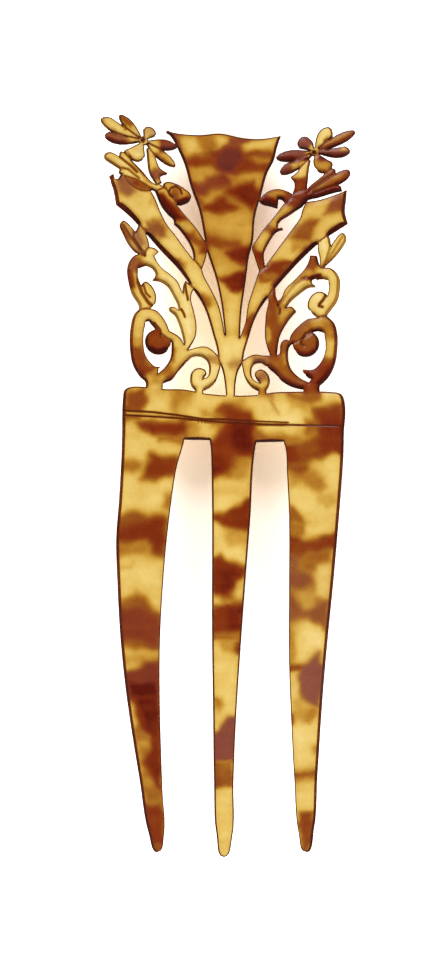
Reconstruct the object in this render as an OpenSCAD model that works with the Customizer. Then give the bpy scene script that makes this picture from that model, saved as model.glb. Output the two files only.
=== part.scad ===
// Three-pronged decorative hair comb, pierced and carved from one bowed plate.
// Frame: +Z runs up to the crest, -Z down the prongs, +X to the right as seen
// from the hollow side, -Y towards the viewer of the hollow side.
// The origin is on the line where the hair bears, under the heading bar.
// Every node is one named region of the plate: its flat outline is drawn in the
// XZ plane and cut out of a shell that is bowed about an axis along Z. Regions
// meet face to face, so an outline is trimmed by the regions that it grows from.

/* [Plate] */
// Thickness of the plate
plate_t = 3.2; // [2.4:0.1:4]
// Radius of the bow, at the middle of the thickness
bow_r = 65; // [50:1:120]

/* [Heading and prongs] */
// Height of the line where the prongs are rooted in the heading bar
root_z = 1.2; // [0.6:0.1:2]

/* [Flowers] */
// Radius of the round eye of each flower
eye_r = 1.0; // [0.8:0.1:1.2]
// Where a petal is widest: 1 is halfway along, more is nearer the tip
petal_belly = 1.5; // [1:0.1:2]

/* [Smoothness] */
// Straight pieces in each stretch of a curved outline
curve_steps = 5; // [3:1:8]
// Straight pieces along each side of a leaf or petal
leaf_steps = 9; // [6:1:14]

/* [Hidden] */
shell_fn = 360;
disc_fn = 72;
// Outlines are drawn as they look from one viewpoint in front of the hollow side:
// its distance, its angle below square-on, and the [x, z] point that it faces
view_far = 500;
view_low = 5;
view_at = [-1.1, -8];
reach_front = 12;
reach_back = 5;
shell_low = -100;
shell_high = 80;

amber = [0.88, 0.70, 0.32];
honey = [0.80, 0.56, 0.20];
russet = [0.55, 0.26, 0.10];
umber = [0.40, 0.18, 0.10];

// Left and right limits of the flat tops of the two gaps between the prongs
left_gap = [-8.7, -3.7];
right_gap = [5.7, 11.1];
// Heights of those tops, left and right
gap_tops = [0, -0.45];

// Outlines are [x, z] points in millimetres. A third value of 1 marks a corner.
heading_line = [
    [-21.2, root_z, 1], [-21.0, 8.6], [-20.7, 10.0], [-19.6, 10.6], [-16.4, 10.6],
    [-12.6, 10.2], [-8.8, 10.1], [-4.6, 9.3], [0.4, 8.9], [5.6, 9.0], [9, 9.5],
    [14.6, 9.7], [20.6, 9.6], [22.6, 9.2], [23.3, 7.8], [23.2, root_z, 1],
    [right_gap[1], root_z, 1], [right_gap[1], gap_tops[1], 1],
    [right_gap[0], gap_tops[1], 1], [right_gap[0], root_z, 1], [left_gap[1], root_z, 1],
    [left_gap[1], gap_tops[0], 1], [left_gap[0], gap_tops[0], 1], [left_gap[0], root_z, 1]
];
left_prong_line = [
    [-21.2, root_z, 1], [-21.3, -2.6], [-21.8, -11.8], [-22.4, -20], [-22.2, -27],
    [-21.5, -40], [-20.2, -52], [-17.6, -68.6], [-15.9, -78.6], [-14.0, -82.6],
    [-12.8, -79.2], [-13.1, -70], [-13.6, -54], [-13.6, -40.4], [-12.8, -26.2],
    [-11.5, -13.6], [-10.2, -5.2], [-9.15, -1.6],
    [left_gap[0], gap_tops[0], 1], [left_gap[0], root_z, 1]
];
centre_prong_line = [
    [left_gap[1], root_z, 1], [left_gap[1], gap_tops[0], 1], [-3.45, -1.6],
    [-3.3, -6], [-3.2, -14], [-3.2, -40], [-3, -54], [-2.8, -68.6], [-2.3, -79], [-0.8, -83.6], [0.8, -79.8],
    [1.1, -68.6], [1.6, -56], [2.4, -43.4], [3.5, -28.2], [4.6, -13.6], [4.9, -6.6],
    [5.45, -1.6], [right_gap[0], gap_tops[1], 1], [right_gap[0], root_z, 1]
];
right_prong_line = [
    [right_gap[1], root_z, 1], [right_gap[1], gap_tops[1], 1], [11.5, -1.6],
    [11.8, -6.6], [12.2, -15.2], [12.2, -30], [12.2, -44.4], [12.7, -57.6], [13.3, -68.6], [14.1, -78.6],
    [15.6, -82.6], [17.2, -78], [17.9, -67.4], [18.9, -52], [19.8, -41.4],
    [21.2, -27.2], [22.4, -13], [23.1, -3.2], [23.2, root_z, 1]
];
fan_line = [
    [-12.4, 61.8, 1], [-9.2, 61.2], [-5.4, 61.0], [-1.6, 61.3], [3, 60.4], [6.4, 60.2],
    [10.6, 60.8, 1], [9.8, 58.4], [9.2, 56], [7.8, 53.2], [6.8, 49.6], [5.4, 44.6],
    [5, 39.8], [4.2, 36.6], [3.5, 31.4], [2.7, 25.8], [2.4, 20.6, 1], [-0.6, 21, 1],
    [-1.3, 27], [-2.4, 32.2], [-4.2, 37.8], [-4.6, 39.8], [-5.8, 46], [-7.4, 50.4],
    [-8.6, 54.8], [-9.5, 57], [-11, 60]
];
neck_line = [
    [-3.0, 21, 1], [-0.6, 21, 1], [2.4, 20.6, 1], [4.2, 20.6, 1], [3.3, 17.6],
    [2.9, 15.5], [2.0, 13.6], [1.5, 11], [1.4, 8.4, 1], [-0.4, 8.4, 1], [-0.6, 11],
    [-1.1, 13.8], [-1.8, 15.8], [-2.3, 18.6]
];
left_plume_line = [
    [-23.1, 53.3, 1], [-23.5, 52], [-22.9, 49.9], [-22.4, 47, 1], [-20, 45],
    [-16.4, 41.2], [-13.4, 37.8], [-9.8, 34], [-7.2, 30.4], [-5, 27], [-3.6, 23.2],
    [-3.0, 21, 1], [-0.6, 21, 1], [-1.1, 23.8], [-1.9, 27], [-3.4, 30.2],
    [-4.8, 32.8], [-5.2, 34.1, 1], [-6.9, 36.1, 1], [-9, 38.8], [-10.4, 40.8],
    [-12.2, 43.1], [-13.5, 45.6], [-14.6, 48.4], [-15.4, 49.8], [-16, 51, 1],
    [-21.4, 53.2, 1], [-22.3, 52.2]
];
right_plume_line = [
    [23.8, 50, 1], [22.4, 49.4, 1], [18.6, 48.1], [15.6, 47.6, 1], [14.9, 46.1],
    [14.4, 44.4], [13, 42.4], [10.8, 39.4], [8.9, 36.8], [7.4, 34.7, 1],
    [6.2, 33.8, 1], [5, 30.2], [4, 27], [3.4, 23.2], [2.4, 20.6, 1], [4.2, 20.6, 1],
    [5, 23.2], [6.3, 26], [7.9, 28.3], [9.7, 30.6], [12.4, 33.7], [15.2, 36.6],
    [18.4, 39.5], [24, 43.2, 1], [23.4, 45.6], [23.6, 47.8]
];
left_stem_line = [
    [-14.6, 49.6, 1], [-13.4, 46.8], [-12, 45], [-10.9, 43.9], [-10.8, 43.1],
    [-9.9, 42.2], [-8, 39.6], [-7.1, 37.6], [-6.9, 36.1, 1], [-5.2, 34.1, 1],
    [-4.4, 36.6], [-4.2, 38.6], [-5.4, 41], [-6.8, 42.9], [-8.6, 45], [-10.2, 47],
    [-11.0, 48.2, 1], [-12.8, 50.6, 1]
];
right_stem_line = [
    [11.1, 47.2, 1], [9.2, 44.6], [7, 42], [5.8, 40.2], [4.8, 38.6], [5.3, 36.6],
    [6.2, 33.8, 1], [7.4, 34.7, 1], [7.2, 37.2], [8.2, 39.4], [9.6, 41.4],
    [11.1, 42.1, 1], [10.0, 42.6], [12.8, 45.2], [14.9, 46.6, 1], [15.6, 47.6, 1],
    [12.8, 48.4, 1]
];
left_curl_line = [
    [-13, 51.1], [-12.3, 51.6], [-10.8, 51.4], [-9, 50.5], [-7.4, 48.9], [-7.6, 47.9],
    [-8.4, 47.2], [-10, 46.9], [-11.4, 48.4], [-12.6, 50]
];
right_curl_line = [
    [13.2, 49.0, 1], [11.7, 49.8], [9.8, 50.2], [8, 49.7], [6.9, 48.8], [6.2, 48],
    [6.6, 47.2], [8.6, 46.6], [9.9, 46.2, 1], [10.1, 48.1, 1], [10.8, 47.9],
    [11.3, 47.2, 1], [12.9, 48.1, 1]
];
left_stalk_line = [
    [-16.4, 58.4, 1], [-16.2, 56], [-15.8, 53.4], [-14.4, 51.0, 1], [-13.2, 51.3, 1],
    [-13.5, 52.4], [-12, 53.3, 1], [-13.6, 54.4], [-14.3, 56], [-15.0, 58.4, 1]
];
right_stalk_line = [
    [15.4, 56, 1], [13.8, 53.6], [12.4, 52.5, 1], [13.3, 51], [12.9, 49.2, 1],
    [15.8, 50.2, 1], [16.0, 52], [16.2, 54], [16.6, 56, 1]
];
left_spray_line = [
    [-21.6, 57.7], [-20.7, 57.5], [-19.6, 56.3], [-17.4, 54.1], [-14.6, 51.2],
    [-13.6, 51.1], [-12.8, 50.6, 1], [-14.6, 49.6, 1], [-15.6, 50.3, 1],
    [-16.8, 51.2], [-18.7, 52.2], [-20.4, 52.7], [-21.9, 53.4], [-21.7, 54.1, 1],
    [-23.4, 55.2], [-24.8, 56.4], [-24.6, 57.3], [-23.5, 57.6], [-21.8, 56.8, 1]
];
right_spray_line = [
    [12.8, 48.4, 1], [12.9, 49.2, 1], [15.8, 50.2, 1], [16.8, 51.2], [18.9, 52.9],
    [20.2, 54.2], [21.4, 54.2], [21.6, 53.4, 1], [22.7, 53.9], [24, 54.1],
    [24.5, 53.5], [24.2, 52.5], [22.6, 51.2], [21, 50.6], [18.2, 49.4],
    [16.2, 48, 1], [15.6, 47.6, 1]
];
left_lens_line = [
    [-20.9, 52.7, 1], [-19.9, 51.3], [-18.7, 50.4], [-17.2, 49.8], [-16, 49.8],
    [-14.8, 49.9, 1], [-16.4, 51.6, 1], [-18.9, 52.9]
];
left_sprig_line = [
    [-21.1, 44.0, 1], [-21.7, 43.0], [-21.0, 41.1], [-19.8, 38.8], [-18.6, 37.5],
    [-17.4, 36.8], [-16.4, 35.8, 1], [-15.6, 38.2, 1], [-15.9, 39.8], [-16.5, 41.3],
    [-17.9, 43.0, 1], [-18.5, 41.7, 1], [-19.4, 42.7], [-20.4, 43.7]
];
right_sprig_line = [
    [23.1, 41.4], [23.7, 40.2], [22.8, 38.3], [21.3, 36.4], [19.3, 34.5],
    [18.4, 33.6, 1], [18.3, 36.5], [18.0, 37.8], [18.2, 39.8], [19.3, 41.2],
    [20.3, 40.5], [20.6, 38.9, 1], [21.5, 40.2], [22.5, 41.3]
];
right_under_leaf_line = [
    [16.2, 48.0, 1], [18.4, 48.5], [21, 49.3], [22.9, 49.7, 1], [22.4, 50.9],
    [20.4, 50.8], [17, 49.8, 1]
];
left_acanthus_line = [
    [-16, 38.4], [-15, 38.5], [-13.7, 37.6, 1], [-14.6, 36.6, 1], [-14.3, 35.9],
    [-13.3, 34.5], [-11.5, 33.1], [-10, 31.6], [-9.4, 30.2], [-9.1, 29.5, 1],
    [-9, 30.8], [-8.5, 31.9, 1], [-6.8, 30.2, 1], [-7.4, 28.6], [-6.8, 25.7],
    [-6.3, 23.1], [-6.5, 20.6], [-7.5, 18.6], [-7.9, 18.0, 1], [-8.8, 19.2, 1],
    [-9.2, 21], [-9.8, 23], [-10.7, 24.9], [-11.8, 25.9], [-11.7, 26.5],
    [-10.8, 26.6], [-9.9, 26.0, 1], [-10.2, 27.3], [-10.9, 28.6], [-12.1, 30.6],
    [-13.7, 31.6], [-15.2, 31.8, 1], [-14.5, 33], [-15.2, 34.2], [-16.4, 34.8, 1],
    [-16.8, 36.6, 1]
];
right_acanthus_line = [
    [16.4, 36.9, 1], [17.8, 36.9, 1], [18.2, 35.3], [18.7, 34.3, 1], [18.4, 32.2, 1],
    [16.8, 31.8], [17.6, 30.5, 1], [16.2, 30.4], [14.4, 29.2], [12.7, 27.8],
    [11.7, 26.5, 1], [12.5, 26.7], [13.2, 26.3], [13.7, 25.6, 1], [12.5, 24.3],
    [11.1, 22.2], [10.3, 20.4], [9.9, 18], [9.8, 17, 1], [8.4, 16.9, 1], [7.8, 18.6],
    [7.4, 20.4], [7.4, 22.7], [7.6, 25.3], [8, 28.2], [7.2, 29, 1], [8.8, 31.2, 1],
    [9.5, 30.4, 1], [9.6, 28.8], [10, 27.8, 1], [10.5, 28.2], [11.5, 30.2],
    [13.5, 32.2], [15.4, 34.3], [16.2, 35.9]
];
left_upper_scroll_line = [
    [-16.6, 36.6, 1], [-18.3, 37.1], [-19.7, 35.8], [-20.2, 34], [-19.9, 31.4],
    [-19.2, 29], [-17.9, 26.9], [-17.8, 26.2, 1], [-15.3, 26.2, 1], [-14.6, 27.1],
    [-14.4, 29], [-15.4, 31], [-16.6, 31.7], [-17.4, 31.0, 1], [-18, 32.7],
    [-17.9, 34], [-17.3, 34.5], [-16.2, 34.8, 1]
];
right_upper_scroll_line = [
    [18.3, 34.2, 1], [19.4, 34.5], [20.9, 34.2], [22.3, 32.4], [22.4, 30.4],
    [21.9, 27.8], [20.2, 25.4], [19.8, 24.8, 1], [17.6, 24.4, 1], [16.3, 25.7],
    [15.9, 26.9], [16.6, 28.8], [18.2, 29.7], [19.5, 29.3], [19.9, 28.9, 1],
    [20.2, 30.8], [19.7, 31.9], [18.6, 32.1], [17.6, 31.9, 1]
];
left_ring_line = [
    [-17.8, 26.2, 1], [-18.8, 25.1], [-19.6, 21.6], [-19.6, 18], [-19, 14.9],
    [-17.6, 12.6], [-16.5, 11.5], [-16.6, 10.0, 1], [-13.2, 9.8, 1], [-12.8, 11.2],
    [-11.2, 12], [-9.6, 14], [-8, 16], [-7.4, 17.4, 1], [-7.9, 18.0, 1],
    [-8.8, 19.2, 1], [-9.6, 20.5], [-10.7, 21.3], [-11.7, 21.8, 1], [-12.3, 23.3],
    [-13.3, 24.9], [-14.5, 26], [-15.3, 26.2, 1]
];
left_ring_hole = [
    [-16, 23.7], [-16.7, 22.4], [-16.9, 20.6], [-16.9, 19], [-16.5, 17],
    [-15.5, 15.5], [-14.5, 14.7], [-13.5, 14.7, 1], [-13.9, 13.9], [-14, 13.3, 1],
    [-12.5, 14.7], [-11.5, 16.5], [-11.3, 18.4], [-11.3, 19.6, 1], [-14.5, 22.0, 1],
    [-15.4, 23.1]
];
left_disc_at = [-14.0, 19.6];
left_disc_r = 2.6;
right_ring_line = [
    [19.8, 24.8, 1], [21.3, 23.3], [21.9, 21], [21.9, 18.4], [21.5, 15.5],
    [20.5, 13.1], [19.1, 11.4], [18.4, 10.8], [18.4, 9.2, 1], [15.0, 9.2, 1],
    [15.0, 10.0, 1], [12.7, 10.6], [10.7, 11.8], [9.5, 13.1], [7.8, 14.7],
    [7.4, 15.6, 1], [8.4, 16.9, 1], [9.8, 17.0, 1], [10.3, 17.3], [10.4, 18.6],
    [10.7, 19.6], [11.5, 20.1], [12.2, 19.9, 1], [12.7, 21.2], [14.2, 22.9],
    [16, 24.2], [17.6, 24.4, 1]
];
right_ring_hole = [
    [18.2, 21.7], [19.1, 21], [19.5, 19.6], [19.3, 17.1], [18.2, 15.1], [17, 14.1],
    [14.9, 14.1, 1], [15.2, 13.1], [16.5, 12, 1], [16.2, 11.5, 1], [14.4, 12.4],
    [12.7, 14.1], [12.1, 15.9], [12.2, 18.4], [12.6, 19, 1], [17.2, 21.6, 1]
];
right_disc_at = [15.6, 19.2];
right_disc_r = 2.65;

left_base_scroll_line = [
    [-7.9, 18.0, 1], [-6.4, 18.5], [-4.5, 18.7], [-2.9, 17.8], [-1.7, 16.3],
    [-1.5, 15], [-1.8, 13.5], [-2.5, 11.6], [-3.7, 10.4], [-4.9, 9.8, 1],
    [-4.9, 9.0, 1], [-6.6, 9.0, 1], [-6.6, 9.9, 1], [-7.3, 10.7], [-7.6, 12],
    [-7.4, 13.3], [-6.6, 14.2], [-5.6, 14.4], [-4.6, 14], [-4.3, 13.2],
    [-4.9, 12.3, 1], [-4.1, 12.7], [-3.8, 14.3], [-4.2, 15.7], [-5.5, 16.6],
    [-7.2, 16.5], [-8.2, 15.6, 1], [-9, 17, 1]
];
right_base_scroll_line = [
    [8.4, 16.9, 1], [7.0, 16.9], [5.4, 17.1], [4.2, 16.7], [2.8, 15.6], [2.9, 14.3],
    [3.4, 12.4], [4.6, 10.6], [6, 9.7, 1], [6, 8.6, 1], [7.7, 8.8, 1], [7.7, 9.9, 1],
    [8.2, 10.8], [8.4, 12], [7.8, 13.4], [6.6, 14.1], [5.5, 13.6], [5.4, 12.7],
    [6.3, 11.4, 1], [5.1, 12.1], [4.7, 13.7], [5.2, 15], [6.6, 15.3], [7.6, 14.7, 1],
    [9, 15.5, 1]
];

// Flowers are [centre, petals]; a petal is [angle, length, width, point].
left_flower = [[-16.9, 59.8], [
    [152.5, 9.7, 2.8, 0.50], [133, 7.2, 2.1, 0.60], [54, 3.2, 2.9, 0.45],
    [-11, 6.9, 2.3, 0.70], [-39, 8.3, 2.1, 0.60], [-128, 4.5, 4.6, 0.35],
    [172, 7.9, 2.9, 0.50]
]];
right_flower = [[17.4, 57.6], [
    [58, 5.8, 3.0, 0.55], [27, 9.1, 2.2, 0.50], [1, 7.1, 2.7, 0.50],
    [-56, 4.8, 3.8, 0.40], [212, 8.3, 2.5, 0.50], [189.5, 8.0, 2.4, 0.60],
    [142, 4.1, 3.0, 0.40]
]];
petals = len(left_flower[1]);

// ---- curves ----

function flat(p) = [p[0], p[1]];
function unit(v) = v / max(norm(v), 1e-9);
function is_corner(p) = len(p) > 2 && p[2] == 1;
function around(line, i) = line[(i + len(line)) % len(line)];
function chord(line, i) = flat(around(line, i + 1)) - flat(around(line, i));
// Direction of the smooth path as it passes point i
function passing(line, i) = unit(unit(chord(line, i - 1)) + unit(chord(line, i)));
function leaving(line, i) = is_corner(around(line, i)) ? unit(chord(line, i)) : passing(line, i);
function arriving(line, i) =
    is_corner(around(line, i + 1)) ? unit(chord(line, i)) : passing(line, i + 1);
function hermite(a, b, da, db, t) =
    a * (1 - 3 * t * t + 2 * t * t * t) + b * (3 * t * t - 2 * t * t * t)
    + da * (t - 2 * t * t + t * t * t) + db * (t * t * t - t * t);
function steps_from(line, i) =
    is_corner(around(line, i)) && is_corner(around(line, i + 1)) ? 1 : curve_steps;
// Closed path through every point, smooth except at the corners
function closed_path(line) = [
    for (i = [0:len(line) - 1])
        let (a = flat(line[i]), b = flat(around(line, i + 1)), reach = norm(b - a))
        for (s = [0:steps_from(line, i) - 1])
            hermite(a, b, leaving(line, i) * reach, arriving(line, i) * reach,
                s / steps_from(line, i))
];

function backwards(list) = [for (i = [len(list) - 1:-1:0]) list[i]];
function total(list, i = 0) = i < len(list) ? list[i] + total(list, i + 1) : 0;
// Twice the area inside a path, less than zero if it runs clockwise
function twice_area(path) =
    total([for (i = [0:len(path) - 1]) cross(path[i], around(path, i + 1))]);
function anticlockwise(path) = twice_area(path) < 0 ? backwards(path) : path;

// Outline of a leaf from its base to its tip
function leaf_side(base, tip, width, belly, point, side) =
    let (along = tip - base, off = unit([-along[1], along[0]]) * side)
    [for (i = [1:leaf_steps - 1])
        let (
            u = (1 - cos(180 * i / leaf_steps)) / 2,
            half = width / 2 * pow(sin(180 * pow(u, belly)), point)
        )
        base + along * u + off * half];
function leaf_path(base, tip, width, belly, point) = concat(
    [base], leaf_side(base, tip, width, belly, point, 1),
    [tip], backwards(leaf_side(base, tip, width, belly, point, -1))
);

// Slides a drawn point along its line of sight to the middle of the bowed plate.
// The flat tops of the gaps keep their heights.
function placed(p) =
    let (
        eye_y = -view_far * cos(view_low),
        eye_z = view_at[1] - view_far * sin(view_low),
        rise = p[1] - view_at[1],
        go = [p[0] - view_at[0], view_far * cos(view_low) - rise * sin(view_low),
            view_far * sin(view_low) + rise * cos(view_low)],
        from_axis = eye_y + bow_r,
        a = go[0] * go[0] + go[1] * go[1],
        b = view_at[0] * go[0] + from_axis * go[1],
        c = view_at[0] * view_at[0] + from_axis * from_axis - bow_r * bow_r,
        s = (-b + sqrt(b * b - a * c)) / a
    )
    [view_at[0] + s * go[0], len(search(p[1], gap_tops)) > 0 ? p[1] : eye_z + s * go[2]];
function placed_path(path) = anticlockwise([for (p = path) placed(p)]);

// ---- flat shapes ----

module smooth(line) { polygon(placed_path(closed_path(line))); }

function tip_of(flower, i) =
    flower[0] + flower[1][i][1] * [cos(flower[1][i][0]), sin(flower[1][i][0])];
function nearer(angle, to) = angle + 360 * round((to - angle) / 360);
// Angle halfway between petal i and the next one clockwise
function petal_seam(flower, i) =
    let (
        a = flower[1][(i + petals) % petals][0],
        b = nearer(flower[1][(i + 1) % petals][0], a - 180 / petals)
    )
    (a + b) / 2;

module eye(flower) { translate(placed(flower[0])) circle(r = eye_r, $fn = disc_fn); }

// The sector of the flower that belongs to petal i
module petal_sector(flower, i) {
    from = petal_seam(flower, i - 1);
    to = nearer(petal_seam(flower, i), from - 180 / petals);
    far = 30;
    polygon(placed_path(concat(
        [flower[0]],
        [for (s = [0:4]) let (a = from + (to - from) * s / 4) flower[0] + far * [cos(a), sin(a)]]
    )));
}

module petal(flower, i) {
    spec = flower[1][i];
    difference() {
        intersection() {
            polygon(placed_path(
                leaf_path(flower[0], tip_of(flower, i), spec[2], petal_belly, spec[3])
            ));
            petal_sector(flower, i);
        }
        eye(flower);
    }
}

module whole_flower(flower) {
    eye(flower);
    for (i = [0:petals - 1]) petal(flower, i);
}

// ---- the bowed plate ----

// Cuts a flat outline out of the bowed plate
module plate() {
    difference() {
        intersection() {
            translate([0, reach_back, 0]) rotate([90, 0, 0])
                linear_extrude(height = reach_front + reach_back) children();
            bow_cylinder(bow_r + plate_t / 2);
        }
        bow_cylinder(bow_r - plate_t / 2);
    }
}

module bow_cylinder(r) {
    translate([0, -bow_r, shell_low]) cylinder(r = r, h = shell_high - shell_low, $fn = shell_fn);
}

// ---- heading and prongs ----

module heading_bar() { color(honey) plate() smooth(heading_line); }

module left_prong() { color(amber) plate() smooth(left_prong_line); }

module centre_prong() { color(amber) plate() smooth(centre_prong_line); }

module right_prong() { color(amber) plate() smooth(right_prong_line); }

// ---- middle of the crest ----

module crest_neck() {
    color(amber) plate() difference() { smooth(neck_line); smooth(heading_line); }
}

module centre_fan() { color(honey) plate() smooth(fan_line); }

module left_plume() {
    color(amber) plate() difference() {
        smooth(left_plume_line);
        smooth(left_spray_line);
        smooth(left_lens_line);
    }
}

module right_plume() {
    color(amber) plate() difference() {
        smooth(right_plume_line);
        smooth(right_under_leaf_line);
    }
}

module left_stem() {
    color(russet) plate() difference() { smooth(left_stem_line); smooth(fan_line); }
}

module right_stem() {
    color(honey) plate() difference() { smooth(right_stem_line); smooth(fan_line); }
}

module left_curl() {
    color(honey) plate() difference() {
        smooth(left_curl_line);
        smooth(left_stem_line);
        smooth(fan_line);
        smooth(left_spray_line);
    }
}

module right_curl() {
    color(umber) plate() difference() {
        smooth(right_curl_line);
        smooth(right_stem_line);
        smooth(fan_line);
        smooth(right_spray_line);
    }
}

// ---- sprays and flowers ----

module left_spray() {
    color(amber) plate() difference() {
        smooth(left_spray_line);
        smooth(left_stem_line);
        whole_flower(left_flower);
    }
}

module left_lens_leaf() {
    color(russet) plate() difference() {
        smooth(left_lens_line);
        smooth(left_spray_line);
        smooth(left_stem_line);
    }
}

module right_spray() {
    color(russet) plate() difference() {
        smooth(right_spray_line);
        smooth(right_stem_line);
        whole_flower(right_flower);
    }
}

module right_under_leaf() {
    color(umber) plate() difference() {
        smooth(right_under_leaf_line);
        smooth(right_spray_line);
        smooth(right_stem_line);
    }
}

module left_flower_stalk() {
    color(amber) plate() difference() {
        smooth(left_stalk_line);
        whole_flower(left_flower);
        smooth(left_spray_line);
        smooth(left_curl_line);
    }
}

module right_flower_stalk() {
    color(honey) plate() difference() {
        smooth(right_stalk_line);
        whole_flower(right_flower);
        smooth(right_spray_line);
    }
}

module left_flower_eye() { color(umber) plate() eye(left_flower); }

module right_flower_eye() { color(umber) plate() eye(right_flower); }

module left_petal(i) {
    color(amber) plate() difference() { petal(left_flower, i); smooth(fan_line); }
}

module right_petal(i) {
    color(russet) plate() difference() { petal(right_flower, i); smooth(fan_line); }
}

// ---- outer scrolls ----

module left_outer_sprig() {
    color(russet) plate() difference() {
        smooth(left_sprig_line);
        smooth(left_plume_line);
        smooth(left_acanthus_line);
        smooth(left_upper_scroll_line);
    }
}

module right_outer_sprig() {
    color(amber) plate() difference() {
        smooth(right_sprig_line);
        smooth(right_acanthus_line);
        smooth(right_upper_scroll_line);
        smooth(right_plume_line);
    }
}

module left_upper_scroll() {
    color(honey) plate() difference() {
        smooth(left_upper_scroll_line);
        smooth(left_acanthus_line);
        smooth(left_ring_line);
    }
}

module right_upper_scroll() {
    color(amber) plate() difference() {
        smooth(right_upper_scroll_line);
        smooth(right_acanthus_line);
        smooth(right_ring_line);
    }
}

module left_acanthus() {
    color(amber) plate() difference() { smooth(left_acanthus_line); smooth(left_plume_line); }
}

module right_acanthus() {
    color(russet) plate() difference() { smooth(right_acanthus_line); smooth(right_plume_line); }
}

module left_lower_ring() {
    color(honey) plate() difference() {
        smooth(left_ring_line);
        smooth(left_ring_hole);
        smooth(left_acanthus_line);
        smooth(heading_line);
    }
}

module right_lower_ring() {
    color(russet) plate() difference() {
        smooth(right_ring_line);
        smooth(right_ring_hole);
        smooth(right_acanthus_line);
        smooth(heading_line);
    }
}

module left_ring_disc() {
    color(umber) plate() intersection() {
        translate(placed(left_disc_at)) circle(r = left_disc_r, $fn = disc_fn);
        smooth(left_ring_hole);
    }
}

module right_ring_disc() {
    color(russet) plate() intersection() {
        translate(placed(right_disc_at)) circle(r = right_disc_r, $fn = disc_fn);
        smooth(right_ring_hole);
    }
}

module left_base_scroll() {
    color(amber) plate() difference() {
        smooth(left_base_scroll_line);
        smooth(left_ring_line);
        smooth(left_acanthus_line);
        smooth(neck_line);
        smooth(heading_line);
    }
}

module right_base_scroll() {
    color(honey) plate() difference() {
        smooth(right_base_scroll_line);
        smooth(right_ring_line);
        smooth(right_acanthus_line);
        smooth(neck_line);
        smooth(heading_line);
    }
}

heading_bar();
left_prong();
centre_prong();
right_prong();
crest_neck();
centre_fan();
left_plume();
right_plume();
left_stem();
right_stem();
left_curl();
right_curl();
left_spray();
left_lens_leaf();
right_spray();
right_under_leaf();
left_flower_stalk();
right_flower_stalk();
left_flower_eye();
right_flower_eye();
for (i = [1:petals]) left_petal(i - 1);
for (i = [1:petals]) right_petal(i - 1);
left_outer_sprig();
right_outer_sprig();
left_upper_scroll();
right_upper_scroll();
left_acanthus();
right_acanthus();
left_lower_ring();
right_lower_ring();
left_ring_disc();
right_ring_disc();
left_base_scroll();
right_base_scroll();
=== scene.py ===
"""Decorative hair comb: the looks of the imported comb, one carved piece for each of its CAD nodes."""
import math

import bpy
import numpy as np
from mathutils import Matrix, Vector, geometry, kdtree, noise


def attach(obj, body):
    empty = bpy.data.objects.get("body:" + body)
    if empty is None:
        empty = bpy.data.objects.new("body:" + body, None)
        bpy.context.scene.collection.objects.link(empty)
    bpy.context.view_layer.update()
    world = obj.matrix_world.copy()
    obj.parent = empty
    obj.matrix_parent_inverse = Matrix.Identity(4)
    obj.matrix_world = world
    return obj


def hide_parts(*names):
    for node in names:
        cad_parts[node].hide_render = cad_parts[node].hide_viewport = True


MM = 0.001

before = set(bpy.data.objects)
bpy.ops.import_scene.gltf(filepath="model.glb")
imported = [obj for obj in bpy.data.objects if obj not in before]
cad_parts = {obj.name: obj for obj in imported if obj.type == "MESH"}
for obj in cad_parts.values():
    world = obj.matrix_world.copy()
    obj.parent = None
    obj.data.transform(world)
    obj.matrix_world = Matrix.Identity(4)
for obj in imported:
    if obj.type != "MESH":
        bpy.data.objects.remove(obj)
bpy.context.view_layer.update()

# ---- sizes, in millimetres ----
BOW_R = 65.0             # radius of the bow, at the middle of the thickness
PLATE_T = 3.2            # thickness of the plate
DEEP = PLATE_T / 2
EDGE_R = 0.30            # radius of the rounded edges
LEAST_LEFT = 0.8         # thickness that the carving leaves, at the least
RIM_FRONT = -DEEP + EDGE_R
RIM_BACK = DEEP - EDGE_R
CREST_FROM = 9.0         # the fine carving begins at this height
VIEW_FAR = 500.0         # distance from the camera to the point it faces
VIEW_LOW = 5.0           # how far below square-on the camera is, in degrees
VIEW_AT = (-1.1, -8.0)   # the x and z that the camera faces
VIEW_TALL = 192.0        # height of the view at that point

# ---- spacing of the mesh points, in millimetres ----
FINE_STEP = 0.26         # in the crest
COARSE_STEP = 0.62       # below it
SCORED_STEP = 0.16       # in the scored patch
RIM_STEP = 0.30          # along the rim
SEAM_STEP = 0.15         # along the seams between nodes
LINE_STEP = 0.30         # along the engraved lines
SAMPLE_STEP = 0.12       # between the places on the rim that distances are looked up from
RIM_RINGS = (0.035, 0.10, 0.19, 0.31)   # how far inside the rim each ring of points runs
GRID_ROW = 0.866         # distance between the rows of a grid, for a spacing of 1
SAME_POINT = 0.012       # points closer than this are merged
ON_SHELL = 0.08          # how far a CAD point may lie from the shell that it belongs to
SPECK = 0.05             # outlines with a smaller area, in square millimetres, are left out
FAR_OFF = 1e9            # stands for no distance found yet
SCORED = (-3.2, 1.8, -64.0, -58.0)   # lowest and highest u, then w, of the scored patch

# ---- the camera's plane: u to the right, w up, through the point it faces ----
LOW = math.radians(VIEW_LOW)
EYE = np.array([VIEW_AT[0], -VIEW_FAR * math.cos(LOW), VIEW_AT[1] - VIEW_FAR * math.sin(LOW)])


def to_view(p):
    """The u and w at which points of the comb are seen."""
    v = p - EYE
    depth = v[:, 1] * math.cos(LOW) + v[:, 2] * math.sin(LOW)
    rise = -v[:, 1] * math.sin(LOW) + v[:, 2] * math.cos(LOW)
    k = VIEW_FAR / depth
    return np.stack([VIEW_AT[0] + v[:, 0] * k, VIEW_AT[1] + rise * k], 1)


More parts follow.
